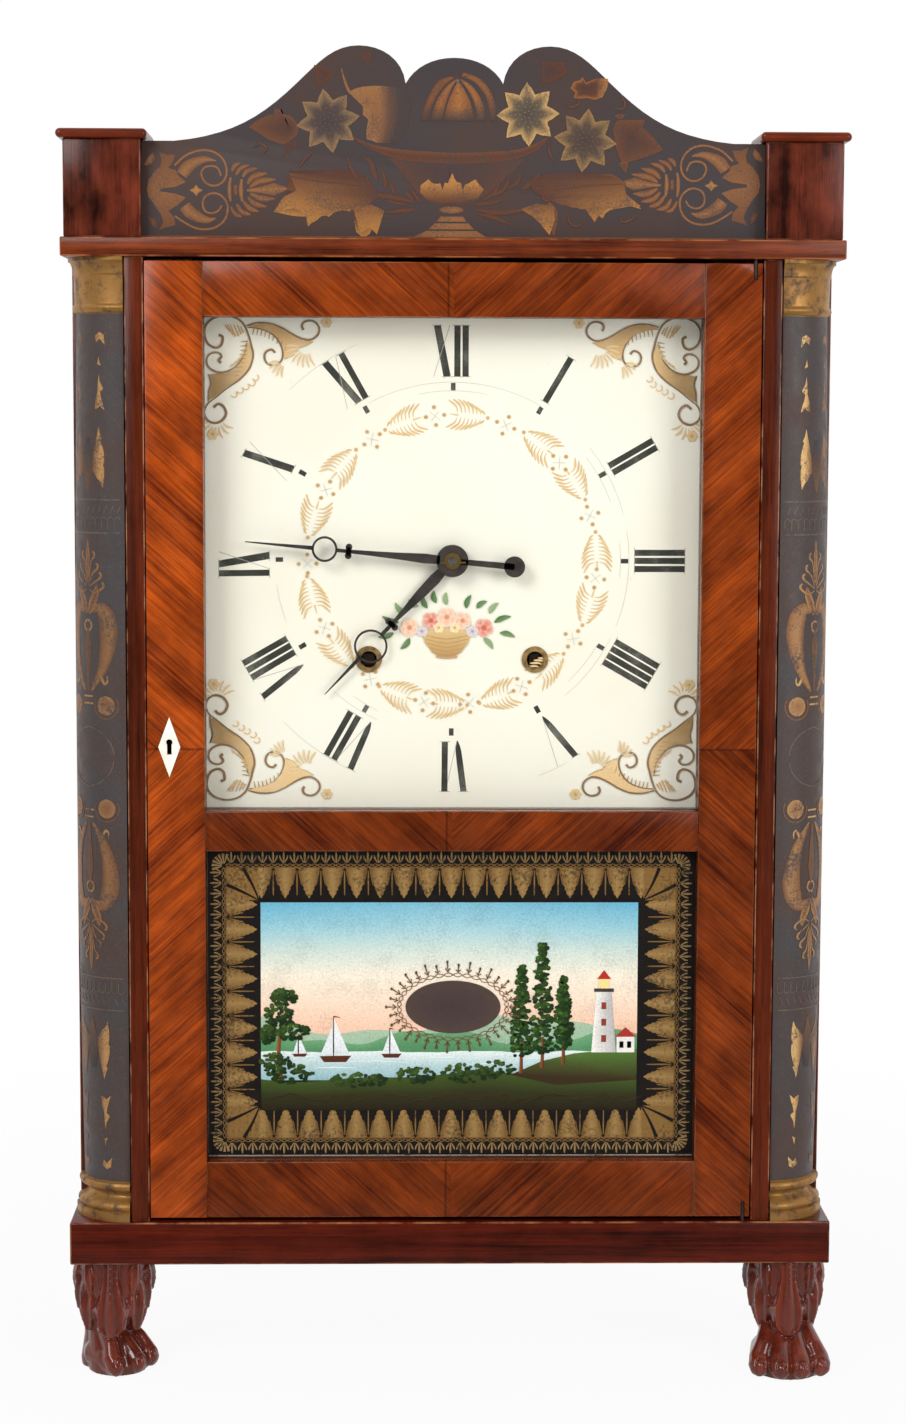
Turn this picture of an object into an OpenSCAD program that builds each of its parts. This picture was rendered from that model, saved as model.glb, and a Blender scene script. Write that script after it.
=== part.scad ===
// Shelf clock with quarter-round columns, a scrolled crest and paw feet.
// Units are millimetres, +Z is up and the floor is z = 0. While it is drawn, y = 0 is the
// front face of the door; place() then moves everything so that the clock is centred in depth.

/* [Case] */
// Width of the cornice board and of the base slab
slab_w = 432; // [424:1:444]
// Height of the case between the two slabs
case_h = 542; // [532:1:560]
// Depth from the door face to the back edge of the case sides
case_d = 113; // [111:1:122]
// How far the slabs stand forward of the door face
slab_proud = 2.5; // [1.5:0.5:5]
// How far the slabs stand out past each case side and the back
slab_side = 3; // [2:0.5:6]
// Thickness of the cornice board
cornice_t = 10.5; // [8:0.5:14]
// Thickness of the base slab
base_t = 24.5; // [20:0.5:30]
// Thickness of a case side
side_t = 12; // [10:0.5:14]
// Thickness of the back board
back_t = 6; // [4:0.5:8]
// Height of the paw feet
foot_h = 64.5; // [58:0.5:72]
// How far the toes stand forward of the middle of the foot
toe_reach = 41; // [34:0.5:46]

/* [Columns] */
// Radius of the corner that a quarter column fills
column_r = 31; // [30:0.5:33]
// Radius of the shaft under the capital
shaft_top_r = 28.6; // [26:0.1:30]
// Radius of the shaft at its middle
shaft_mid_r = 30.6; // [29:0.1:31]
// Radius of the shaft above the base
shaft_foot_r = 28.4; // [26:0.1:30]
// Radius of the capital's top and of the base disc
abacus_r = 33; // [31.5:0.1:33.4]
// Height of the turned base
column_base_h = 22; // [20:0.5:28]
// Height of the capital
capital_h = 30.5; // [28:0.5:36]

/* [Door] */
// Thickness of the door
door_t = 19; // [17:0.5:20]
// Gap between the door and the case stiles
door_gap = 0.6; // [0.5:0.05:1]
// Gap above and below the door
door_end_gap = 2.3; // [1.5:0.1:3.5]
// Width of a case stile as seen from the front
stile_w = 10.5; // [10:0.1:14]
// Depth of a case stile from front to back
stile_d = 40; // [38:1:42]
// Width of a door stile
door_stile_w = 31.8; // [29:0.1:34]
// Height of the top rail
top_rail_h = 30.1; // [26:0.1:34]
// Height of the middle rail
middle_rail_h = 22.6; // [18:0.1:28]
// Height of the bottom rail
bottom_rail_h = 32.1; // [28:0.1:38]
// Height of the opening over the dial
dial_opening_h = 274.6; // [268:0.1:282]
// Thickness of the glass
glass_t = 2; // [1.5:0.1:3]
// Width of the rabbet that holds the glass
rabbet_w = 6; // [4:0.5:8]
// Thickness of wood in front of the glass
rabbet_front = 9; // [7:0.5:10]
// Diameter of the bent wire that the door turns on
pivot_d = 2; // [1.6:0.1:2.4]

/* [Escutcheon and lock] */
// Height of the bone diamond
escutcheon_h = 33.7; // [28:0.1:38]
// Width of the bone diamond
escutcheon_w = 12.3; // [10:0.1:15]
// Thickness of the bone
escutcheon_t = 1.5; // [1:0.1:2.5]
// Height of the keyhole above the bottom of the door
keyhole_up = 271.5; // [262:0.5:282]
// Height of the keyhole above the middle of the diamond
keyhole_rise = 2.6; // [0:0.1:5]
// Width of the lock case
lock_w = 24; // [22:0.5:27]
// Height of the lock case
lock_h = 40; // [34:1:50]
// Travel of the lock bolt
bolt_travel = 6; // [4:0.5:7]

/* [Top] */
// Width of a plinth block
block_w = 42.5; // [38:0.5:45]
// Depth of a plinth block
block_d = 42; // [36:1:50]
// Height of a plinth block
block_h = 53.3; // [53:0.1:60]
// How far a block stands in from the end of the cornice
block_inset = 1.8; // [1:0.1:4]
// Thickness of a block cap
cap_t = 5.2; // [4:0.1:7]
// Overhang of a block cap on every side
cap_over = 3.7; // [2:0.1:6]
// Thickness of the crest board
crest_t = 8; // [6:0.5:10]
// Height of the crest board at its two peaks
crest_h = 104.8; // [96:0.1:112]
// How far the crest board stands back from the faces of the blocks
crest_back = 8; // [4:0.5:14]

/* [Dial and hands] */
// How far the dial board reaches past its opening at each side
dial_lap = 11.6; // [8:0.1:14]
// How far the dial board reaches past its opening above and below
dial_end_lap = 12.7; // [8:0.1:14]
// Thickness of the dial board
dial_t = 5; // [4:0.5:6]
// Distance from the back of the door to the face of the dial
dial_behind = 4.5; // [4:0.1:6]
// Height of the hands' centre above the middle of the opening
hub_up = 2.3; // [0:0.1:4]
// Length of the minute hand
minute_len = 117; // [100:1:122]
// Length of the hour hand
hour_len = 103; // [80:1:106]
// Sideways distance of each winding hole from the centre
wind_x = 47; // [46.5:0.1:48]
// Distance of the winding holes below the centre
wind_down = 56; // [55.5:0.1:57]
// Radius of a winding hole's brass grommet
grommet_r = 7.5; // [6.5:0.1:9]
// Radius of the hole in the grommet
wind_hole_r = 4.7; // [4.6:0.1:5.5]

/* [Movement] */
// Width of the wooden plates
plate_w = 212; // [208:1:216]
// Height of the wooden plates
plate_h = 176; // [172:1:184]
// Thickness of each plate
plate_t = 9; // [8:0.5:10]
// Space between the plates
plates_apart = 37; // [37:0.5:39]
// Tooth size of the great wheels, as pitch diameter over teeth
great_m = 1.2; // [1.19:0.01:1.2]
// Tooth size of the other train wheels
train_m = 0.95; // [0.94:0.01:0.95]
// Radius of the escape wheel at its tips
escape_r = 15; // [14:0.1:15.2]
// Distance from the pendulum's pivot to the middle of the bob
pendulum_len = 225; // [215:1:232]
// Radius of the pendulum bob
bob_r = 30; // [24:0.5:33]
// Radius of the bell
bell_r = 35; // [30:0.5:36]

/* [Weights] */
// Width of a weight
weight_w = 45; // [36:1:46]
// Depth of a weight
weight_d = 34; // [28:1:36]
// Height of a weight
weight_h = 150; // [130:1:160]
// Radius at which the cord winds on a drum
drum_r = 19.5; // [18:0.1:20]
// Radius at which the cord runs on a pulley
pulley_r = 16; // [14:0.1:16.5]
// Diameter of the weight cord
cord_d = 2; // [1.5:0.1:2.2]

/* [Hidden] */
$fn = 48;
fit_gap = 0.05;
run_gap = 0.3;
seat_gap = 0.02;

// Heights of the case
base_top = foot_h + base_t;
case_top = base_top + case_h;
cornice_top = case_top + cornice_t;

// Widths of the case, measured from the middle
slab_half = slab_w / 2;
side_out = slab_half - slab_side;
side_in = side_out - side_t;
column_x = side_out - column_r;
column_gap = 0.7;
stile_out = column_x - column_gap;
stile_in = stile_out - stile_w;
door_half = stile_in - door_gap;
open_half = door_half - door_stile_w;
backing_t = 12;

// Depths of the case, measured back from the door face
slab_back = case_d + slab_side;
back_front = case_d - back_t;
back_rabbet = 6;

// Heights of the door and its openings
door_low = base_top + door_end_gap;
door_high = case_top - door_end_gap;
dial_open_high = door_high - top_rail_h;
dial_open_low = dial_open_high - dial_opening_h;
tablet_high = dial_open_low - middle_rail_h;
tablet_low = door_low + bottom_rail_h;
tenon_len = 20;
tenon_t = 6;
rabbet_slack = 0.5;
glass_y = rabbet_front + glass_t;

// The wire pivots
pivot_x = door_half - 3.9;
pivot_y = 1.2;
pivot_bend = 2.5;
pivot_leg = 15;
pivot_face_len = 9;
pivot_pin = 8;

// The escutcheon, keyhole and lock
escutcheon_x = -(open_half + 19.6);
escutcheon_proud = 0.3;
keyhole_z = door_low + keyhole_up;
keyhole_r = 1.8;
keyhole_slot_w = 2.6;
keyhole_slot_h = 6.8;
lock_out = door_half - 1;
lock_in = lock_out - lock_w;
lock_t = 7;
lock_wall = 1.5;
bolt_h = 10;
bolt_t = lock_t - 2 * lock_wall - 0.6;
bolt_y = door_t - lock_t / 2;
bolt_len = 16;

// The dial, its board and its buttons
hub_z = (dial_open_high + dial_open_low) / 2 + hub_up;
dial_y = door_t + dial_behind;
dial_back = dial_y + dial_t;
dial_hole_r = 8;
dial_half_w = open_half + dial_lap;
dial_half_h = dial_opening_h / 2 + dial_end_lap;
batten_in = dial_half_w - 4;
batten_w = 14;
batten_out = batten_in + batten_w;
batten_t = 10;
button_x = dial_half_w + 6;
button_t = 2.6;
button_len = 24;
button_w = 9;
button_screw_r = 1.6;

// The movement, measured from the hands' centre
plate_y = dial_back + 9.5;
plate_in_y = plate_y + plate_t;
plate_far_y = plate_in_y + plates_apart;
movement_back = plate_far_y + plate_t;
pivot_r = 1.2;
arbor_r = 2.2;
wind_arbor_r = 4;
square_r = 3.2;

// Tooth counts
great_n = 66;
second_n = 80;
third_n = 60;
pin_n = 72;
lock_n = 60;
minute_n = 36;
hour_n = 40;
leaf_great = 6;
leaf_train = 8;
leaf_last = 7;
leaf_cannon = 12;
leaf_minute = 10;
escape_n = 44;

// Places of the arbors, [x, z] from the hands' centre
function along(p, angle, d) = p + d * [cos(angle), sin(angle)];
function angle_to(p, q) = atan2(q[1] - p[1], q[0] - p[0]);
function meet(p, q, dp, dq, side) =
    let (d = norm(q - p),
         a = (dp * dp - dq * dq + d * d) / (2 * d),
         h = sqrt(dp * dp - a * a),
         u = (q - p) / d)
    p + a * u + side * h * [-u[1], u[0]];
hub = [0, 0];
time_drum = [wind_x, -wind_down];
strike_drum = [-wind_x, -wind_down];
great_gap = great_m * (great_n + leaf_great) / 2;
second_gap = train_m * (second_n + leaf_train) / 2;
third_gap = train_m * (third_n + leaf_last) / 2;
pin_gap = train_m * (pin_n + leaf_train) / 2;
second_at = along(time_drum, 86, great_gap);
pallet_drop = 33;
escape_drop = 24;
pallet_at = [0, -pallet_drop];
escape_at = pallet_at - [0, escape_drop];
third_at = meet(second_at, escape_at, second_gap, third_gap, -1);
front_m = 1.25;
front_gap = front_m * (minute_n + leaf_cannon) / 2;
hour_m = 2 * front_gap / (hour_n + leaf_minute);
minute_at = meet(hub, second_at, front_gap, front_gap, 1);
pin_at = along(strike_drum, 94, great_gap);
lock_at = along(pin_at, 60, pin_gap);
fly_at = along(lock_at, 35, third_gap);
hammer_gap = 8.8;
hammer_up = 15;
hammer_at = pin_at + [-(train_m * pin_n / 2 + hammer_gap), hammer_up];

// Layers of the movement, each the depth of a wheel's back face
front_wheel_t = 2.5;
hour_wheel_y = dial_back + 3.1;
minute_wheel_y = hour_wheel_y + front_wheel_t + 0.4;
great_y = plate_in_y + 8.5;
great_t = 5;
drum_y = great_y + 15.5;
drum_t = 14;
flange_t = 1.6;
third_y = plate_far_y - 8;
second_y = plate_far_y - 2;
train_t = 4;
lock_y = third_y - 12;
leaf_len = train_t + 1.5;
escape_y = plate_y - 2.5;
escape_t = 2;

// The hands
hour_hand_y = dial_y - 3.4;
minute_hand_y = dial_y - 6;
hand_t = 0.8;
hour_pipe_r = 5.2;
minute_arbor_r = 2.5;
hand_pin_y = minute_hand_y - 2.4;
minute_angle = 174.8;
hour_angle = 227;

// Weights, drums and pulleys
cord_y = drum_y - drum_t / 2;
weight_x = (batten_out + side_in) / 2 - 15;
weight_low = base_top + 6;
hook_h = 14;
pulley_x = weight_x - pulley_r;
pulley_z = case_top - 26;
pulley_t = 7;
pulley_rim = 2.4;
pulley_hole_r = 2;
strap_t = 1.6;
strap_w = 8;

// The bell and hammer
bell_clear = 5;
bell_under = 3;
bell_h = 26;
bell_in = 31;
bell_x = hammer_at[0] + bell_in;
bell_y = back_front - bell_clear - bell_r;
bell_z = hub_z - dial_half_h - bell_under - bell_h;
bell_wall = 2.5;
hammer_y = second_y - train_t - 1;
hammer_head_r = 6;
hammer_head_len = 13;

// The clock reaches from the toes of the front feet to the back of the slabs
foot_in = 22.5;
foot_x = slab_half - foot_in;
foot_y = 21;
depth_mid = (slab_back + foot_y - toe_reach) / 2;

// Moves a piece drawn from the door face to its place in the finished clock
module place() {
    translate([0, -depth_mid, 0]) children();
}

// A block from its lowest to its highest corner
module block(low, high) {
    translate(low) cube(high - low);
}

// One of a left and right pair: side is -1 on the left and 1 on the right
module on_side(side) {
    if (side < 0) mirror([1, 0, 0]) children();
    else children();
}

// Draws its children, made in the XY plane, facing forward with their back at depth y
module facing(p, y) {
    translate([p[0], y, hub_z + p[1]]) rotate([90, 0, 0]) children();
}

// A round bar that lies front to back, from depth y0 back to y1
module bar(p, y0, y1, r) {
    facing(p, y1) cylinder(h = y1 - y0, r = r);
}

// Base, cornice and carcase

module base_slab() {
    color([0.27, 0.08, 0.05]) place() difference() {
        block([-slab_half, -slab_proud, foot_h], [slab_half, slab_back, base_top]);
        translate([pivot_x, pivot_y, base_top - pivot_pin - 1])
            cylinder(h = pivot_pin + 2, r = pivot_d / 2 + fit_gap);
    }
}

module cornice_board() {
    color([0.45, 0.17, 0.08]) place() difference() {
        block([-slab_half, -slab_proud, case_top], [slab_half, slab_back, cornice_top]);
        translate([pivot_x, pivot_y, case_top - 1])
            cylinder(h = pivot_pin + 2, r = pivot_d / 2 + fit_gap);
    }
}

module case_side(side) {
    color([0.36, 0.14, 0.07]) place() on_side(side) difference() {
        block([side_in, column_r, base_top], [side_out, case_d, case_top]);
        block([side_in - 1, back_front, base_top - 1],
            [side_in + back_rabbet, case_d + 1, case_top + 1]);
    }
}

module back_board() {
    color([0.55, 0.4, 0.25]) place()
        block([-side_in - back_rabbet, back_front, base_top],
            [side_in + back_rabbet, case_d, case_top]);
}

// The stile beside the door and the strip that backs the column
module front_stile(side) {
    color([0.38, 0.11, 0.05]) place() on_side(side) difference() {
        union() {
            block([stile_in, 0, base_top], [stile_out, stile_d, case_top]);
            block([stile_out, column_r, base_top],
                [side_in, column_r + backing_t, case_top]);
        }
        if (side < 0)
            block([stile_in - 1, bolt_y - bolt_t / 2 - 0.4, keyhole_z - bolt_h / 2 - 0.5],
                [stile_in + bolt_travel + 1, bolt_y + bolt_t / 2 + 0.4,
                    keyhole_z + bolt_h / 2 + 0.5]);
    }
}

// Quarter column: foot disc, torus, hollow, shaft with entasis, bead, neck and abacus
shaft_low = base_top + column_base_h;
shaft_high = case_top - capital_h;
shaft_steps = 16;
function shaft_r(t) =
    let (mean = shaft_foot_r + (shaft_top_r - shaft_foot_r) * t)
    mean + 4 * t * (1 - t) * (shaft_mid_r - (shaft_foot_r + shaft_top_r) / 2);
function bulge(z0, z1, r0, rise, n) =
    [for (i = [0:n]) [r0 + rise * sin(180 * i / n), z0 + (z1 - z0) * i / n]];
column_profile = concat(
    [[0, base_top], [abacus_r, base_top], [abacus_r, base_top + 4.6]],
    bulge(base_top + 5.4, base_top + 10, abacus_r - 1.9, 1.2, 6),
    bulge(base_top + 11, base_top + 17, abacus_r - 4.2, -2.6, 6),
    bulge(base_top + 17.6, base_top + column_base_h - 0.6, abacus_r - 2.4, 0.9, 6),
    [for (i = [0:shaft_steps])
        [shaft_r(i / shaft_steps), shaft_low + (shaft_high - shaft_low) * i / shaft_steps]],
    bulge(shaft_high + 0.4, shaft_high + 5, shaft_top_r + 1, 1.3, 6),
    [[shaft_top_r + 0.9, shaft_high + 5.6], [shaft_top_r + 1.3, case_top - 10]],
    [for (i = [0:6])
        [shaft_top_r + 1.9 + (abacus_r - shaft_top_r - 1.9) * (1 - cos(90 * i / 6)),
            case_top - 9 + 7 * sin(90 * i / 6)]],
    [[abacus_r, case_top], [0, case_top]]);

module column(side) {
    color([0.32, 0.28, 0.25]) place() on_side(side)
        translate([column_x, column_r, 0]) rotate([0, 0, -90])
            rotate_extrude(angle = 90, $fn = 96) polygon(column_profile);
}

// Plinth blocks, caps and crest

block_out = slab_half - block_inset;
block_in = block_out - block_w;
block_high = cornice_top + block_h;
crest_front = crest_back;
crest_tenon = 4;
crest_slack = 0.2;

module plinth_blocks() {
    color([0.4, 0.14, 0.06]) place() for (side = [-1, 1]) on_side(side) difference() {
        block([block_in, 0, cornice_top], [block_out, block_d, block_high]);
        block([block_in - 1, crest_front - crest_slack, cornice_top - 1],
            [block_in + crest_tenon + crest_slack, crest_front + crest_t + crest_slack,
                cornice_top + crest_shoulder + crest_slack]);
    }
}

// A board with a half-round edge all round
module bullnose(low, high) {
    r = (high[2] - low[2]) / 2;
    x0 = low[0] + r;
    x1 = high[0] - r;
    y0 = low[1] + r;
    y1 = high[1] - r;
    z = low[2] + r;
    block([x0, y0, low[2]], [x1, y1, high[2]]);
    for (x = [x0, x1]) {
        translate([x, y0, z]) rotate([-90, 0, 0]) cylinder(h = y1 - y0, r = r);
        for (y = [y0, y1]) translate([x, y, z]) sphere(r = r);
    }
    for (y = [y0, y1])
        translate([x0, y, z]) rotate([0, 90, 0]) cylinder(h = x1 - x0, r = r);
}

module plinth_caps() {
    color([0.42, 0.15, 0.07]) place() for (side = [-1, 1]) on_side(side)
        bullnose([block_in - cap_over, -cap_over, block_high],
            [block_out + cap_over, block_d + cap_over, block_high + cap_t]);
}

// The crest's outline runs in curves from the shoulder over the peak to the middle lobe
crest_shoulder = 52.8;
shoulder_end = block_in - 17.7;
flank_in = 67.8;
flank_drop = 20.2;
flank = [shoulder_end - flank_in, crest_h - flank_drop];
peak = [52.5, crest_h];
notch = [26.8, crest_h - 20.4];
lobe_h = crest_h - 6.4;
function bezier(a, b, c, d, n) = [for (i = [1:n])
    let (t = i / n, s = 1 - t)
    s * s * s * a + 3 * s * s * t * b + 3 * s * t * t * c + t * t * t * d];
crest_half = concat(
    [[block_in + crest_tenon, 0], [block_in + crest_tenon, crest_shoulder],
        [shoulder_end, crest_shoulder]],
    bezier([shoulder_end, crest_shoulder], [shoulder_end - 32, crest_shoulder + 3],
        flank + [19.8, -18.8], flank, 10),
    bezier(flank, flank + [-12.2, 11.7], peak + [13.5, 0], peak, 8),
    bezier(peak, peak - [12.5, 0], notch + [1.7, 13.4], notch, 8),
    bezier(notch, notch + [-4.8, 8.9], [12, lobe_h], [0, lobe_h], 8));
crest_left = [for (i = [len(crest_half) - 2:-1:0]) [-crest_half[i][0], crest_half[i][1]]];

module crest_board() {
    color([0.33, 0.28, 0.25]) place()
        translate([0, crest_front + crest_t, cornice_top]) rotate([90, 0, 0])
            linear_extrude(crest_t) polygon(concat(crest_half, crest_left));
}

// Feet

// Ball-ended limb between two points, each with its own radius
module limb(p, q, rp, rq) {
    hull() {
        translate(p) sphere(r = rp, $fn = 20);
        translate(q) sphere(r = rq, $fn = 20);
    }
}

// The leafy knee tapers to an ankle, and the paw spreads forward from it into four toes.
// Turn swings the paw alone.
knee_r = 22.5;
left_turn = 38;
ankle_r = 13.5;
ankle_z = 26;
toe_r = 6.4;
toe_spread = 11.3;
paw_back = 17;
function toe_at(i) =
    [i * toe_spread, 2.5 * (i * i - 0.25) - toe_reach + toe_r, toe_r - 0.4];

module paw_foot(side, turn) {
    color([0.3, 0.1, 0.07]) place() translate([side * foot_x, foot_y, 0]) intersection() {
        union() {
            hull() {
                translate([0, 0, foot_h - 3]) cylinder(h = 3, r = knee_r - 1.5, $fn = 32);
                translate([0, 0, foot_h * 0.78]) cylinder(h = 1, r = knee_r, $fn = 32);
                translate([0, 0, foot_h * 0.5]) cylinder(h = 1, r = knee_r - 3.4, $fn = 32);
                translate([0, -4, ankle_z]) sphere(r = ankle_r, $fn = 20);
            }
            rotate([0, 0, turn]) {
                hull() {
                    translate([0, 0, ankle_z]) cylinder(h = 6, r = ankle_r, $fn = 32);
                    cylinder(h = 6, r = ankle_r - 1, $fn = 32);
                    for (i = [-1, 1])
                        translate([i * toe_spread, paw_back - toe_reach, toe_r + 2])
                            sphere(r = toe_r + 2, $fn = 20);
                }
                for (i = [-1.5:1:1.5])
                    limb([i * (toe_spread - 2.5), paw_back - toe_reach, toe_r + 5],
                        toe_at(i), toe_r, toe_r);
            }
        }
        translate([-2 * toe_reach, -2 * toe_reach, 0])
            cube([4 * toe_reach, 4 * toe_reach, foot_h]);
    }
}

// A turned foot: small ring, ball and a flat collar under the slab
rear_foot_in = 26;
rear_foot_end_in = 15.5;
rear_sole_r = 11;
rear_ring_rise = 2.5;
rear_neck_r = 10.5;
rear_ball_rise = 4;
rear_collar_r = 15;

module rear_feet() {
    color([0.3, 0.16, 0.1]) place() for (side = [-1, 1])
        translate([side * (slab_half - rear_foot_end_in), slab_back - rear_foot_in, 0])
            rotate_extrude() polygon(concat(
                [[0, 0], [rear_sole_r, 0]],
                bulge(foot_h * 0.015, foot_h * 0.3, rear_sole_r, rear_ring_rise, 6),
                bulge(foot_h * 0.34, foot_h * 0.8, rear_neck_r, rear_ball_rise, 8),
                [[rear_neck_r + 1, foot_h * 0.84], [rear_collar_r, foot_h * 0.86],
                    [rear_collar_r, foot_h], [0, foot_h]]));
}

// Battens inside the case: a pair behind the dial and a pair behind the movement
module case_battens() {
    color([0.6, 0.45, 0.28]) place() for (side = [-1, 1]) on_side(side) {
        difference() {
            block([batten_in, dial_back, base_top],
                [stile_in, dial_back + batten_t, case_top]);
            facing([button_x, 0], dial_back + batten_t + 1)
                cylinder(h = batten_t + 2, r = button_screw_r);
        }
        block([plate_w / 2 - 18, movement_back, base_top], [plate_w / 2 - 2, back_front, case_top]);
    }
}

// The door

// A door member: full width in front of the glass and cut back by the rabbet behind it
module rabbeted(low, high, cut_low, cut_high) {
    block([low[0], 0, low[1]], [high[0], rabbet_front, high[1]]);
    block([low[0] + cut_low[0], rabbet_front, low[1] + cut_low[1]],
        [high[0] - cut_high[0], door_t, high[1] - cut_high[1]]);
}

module tenon(side, z0, z1, grow) {
    on_side(side) block([open_half - 1, rabbet_front + 5 - tenon_t / 2 - grow, z0],
        [open_half + tenon_len + grow, rabbet_front + 5 + tenon_t / 2 + grow, z1]);
}

rail_spans = [[tablet_low - bottom_rail_h, tablet_low], [tablet_high, dial_open_low],
    [dial_open_high, door_high]];
function tenon_low(i) = rail_spans[i][0] + rabbet_w + 1;
function tenon_high(i) = rail_spans[i][1] - rabbet_w - 1;

module pivot_wire(grow) {
    r = pivot_d / 2 + grow;
    for (end = [0, 1])
        translate([pivot_x, pivot_y, end == 0 ? door_low : door_high])
            mirror([0, 0, end]) {
                translate([0, 0, -door_end_gap - pivot_pin])
                    cylinder(h = door_end_gap + pivot_pin + pivot_face_len, r = r);
                translate([0, pivot_bend, pivot_face_len]) rotate([0, -90, 0])
                    rotate([0, 0, 180]) rotate_extrude(angle = 90)
                        translate([pivot_bend, 0]) circle(r = r);
                translate([0, pivot_bend, pivot_face_len + pivot_bend]) rotate([-90, 0, 0])
                    cylinder(h = pivot_leg - pivot_bend, r = r);
            }
}

module door_stile(side) {
    color([0.64, 0.3, 0.09]) place() difference() {
        on_side(side) difference() {
            rabbeted([open_half, door_low], [door_half, door_high], [rabbet_w, 0], [0, 0]);
            for (i = [0:2]) tenon(1, tenon_low(i), tenon_high(i), seat_gap);
        }
        if (side > 0) {
            pivot_wire(seat_gap);
            for (z = [door_low - 1, door_high - pivot_face_len])
                block([pivot_x - pivot_d / 2, -1, z],
                    [pivot_x + pivot_d / 2, pivot_y, z + pivot_face_len + 1]);
        }
        if (side < 0) {
            translate([0, door_t, 0])
                block([-lock_out - 2, -lock_t, keyhole_z - lock_h / 2],
                    [-lock_in, 1, keyhole_z + lock_h / 2]);
            translate([escutcheon_x, -1, keyhole_z]) rotate([-90, 0, 0])
                cylinder(h = door_t + 2, r = keyhole_r);
            block([escutcheon_x - keyhole_slot_w / 2, -1, keyhole_z - keyhole_slot_h],
                [escutcheon_x + keyhole_slot_w / 2, door_t + 1, keyhole_z]);
            diamond(seat_gap, escutcheon_t - escutcheon_proud);
        }
    }
}

// The bone lozenge: it stands a little proud of the door and reaches deep into it
module diamond(grow, deep) {
    h = escutcheon_h / 2 + grow;
    w = escutcheon_w / 2 + grow;
    translate([escutcheon_x, deep, keyhole_z - keyhole_rise]) rotate([90, 0, 0])
        linear_extrude(escutcheon_t)
            polygon([[0, h], [-w, 0], [0, -h], [w, 0]]);
}

module door_rails() {
    color([0.64, 0.3, 0.09]) place() for (i = [0:2]) {
        low_cut = i == 0 ? 0 : rabbet_w;
        high_cut = i == 2 ? 0 : rabbet_w;
        rabbeted([-open_half, rail_spans[i][0]], [open_half, rail_spans[i][1]],
            [0, low_cut], [0, high_cut]);
        for (side = [-1, 1]) on_side(side) {
            tenon(1, tenon_low(i), tenon_high(i), 0);
            block([open_half - 1, rabbet_front, tenon_low(i)],
                [open_half + rabbet_w, door_t, tenon_high(i)]);
        }
    }
}

glass_half = open_half + rabbet_w - rabbet_slack;

module pane(z0, z1) {
    grow = rabbet_w - rabbet_slack;
    block([-glass_half, rabbet_front, z0 - grow], [glass_half, glass_y, z1 + grow]);
}

module dial_glass() {
    color([0.85, 0.92, 0.92, 0.3]) place() pane(dial_open_low, dial_open_high);
}

module tablet_glass() {
    color([0.2, 0.25, 0.2, 0.8]) place() pane(tablet_low, tablet_high);
}

// Strips behind each pane, mitred in pairs
module glazing_beads() {
    color([0.45, 0.25, 0.12]) place()
        for (span = [[tablet_low, tablet_high], [dial_open_low, dial_open_high]]) {
            grow = rabbet_w - rabbet_slack;
            low = span[0] - grow;
            high = span[1] + grow;
            bead = rabbet_w - rabbet_slack;
            for (side = [-1, 1]) on_side(side)
                block([glass_half - bead, glass_y, low], [glass_half, door_t - 1, high]);
            for (z = [low, high - bead])
                block([-glass_half + bead, glass_y, z], [glass_half - bead, door_t - 1, z + bead]);
        }
}

module escutcheon() {
    color([0.93, 0.9, 0.84]) place() difference() {
        diamond(0, escutcheon_t - escutcheon_proud);
        translate([escutcheon_x, -1, keyhole_z]) rotate([-90, 0, 0])
            cylinder(h = escutcheon_t + 1, r = keyhole_r);
        block([escutcheon_x - keyhole_slot_w / 2, -1, keyhole_z - keyhole_slot_h],
            [escutcheon_x + keyhole_slot_w / 2, escutcheon_t + 1, keyhole_z]);
    }
}

// An open-sided iron box let into the back of the stile, with a drill pin for the key
module door_lock() {
    color([0.3, 0.3, 0.32]) place() difference() {
        block([-lock_out, door_t - lock_t, keyhole_z - lock_h / 2],
            [-lock_in, door_t, keyhole_z + lock_h / 2]);
        block([-lock_out - 1, bolt_y - bolt_t / 2 - run_gap / 2,
                keyhole_z - bolt_h / 2 - run_gap / 2],
            [-lock_in - lock_wall, bolt_y + bolt_t / 2 + run_gap / 2,
                keyhole_z + bolt_h / 2 + run_gap / 2]);
        translate([escutcheon_x, door_t - lock_t - 1, keyhole_z]) rotate([-90, 0, 0])
            cylinder(h = lock_wall + 2, r = keyhole_r + 0.4);
    }
}

// The bolt, with the notch in its lower edge that the key turns in
module lock_bolt() {
    color([0.55, 0.5, 0.35]) place() difference() {
        block([-lock_out + 0.5, bolt_y - bolt_t / 2, keyhole_z - bolt_h / 2],
            [-lock_out + 0.5 + bolt_len, bolt_y + bolt_t / 2, keyhole_z + bolt_h / 2]);
        block([escutcheon_x - keyhole_r - 1, bolt_y - bolt_t, keyhole_z - bolt_h],
            [escutcheon_x + keyhole_r + 1, bolt_y + bolt_t, keyhole_z + keyhole_r + 0.4]);
    }
}

module door_pivots() {
    color([0.6, 0.6, 0.6]) place() pivot_wire(0);
}

// The dial

module dial_board() {
    color([0.95, 0.93, 0.87]) place() difference() {
        block([-dial_half_w, dial_y, hub_z - dial_half_h],
            [dial_half_w, dial_back, hub_z + dial_half_h]);
        bar(hub, dial_y - 1, dial_back + 1, dial_hole_r);
        for (p = [time_drum, strike_drum])
            bar(p, dial_y - 1, dial_back + 1, grommet_r - 1.4);
    }
}

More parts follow.
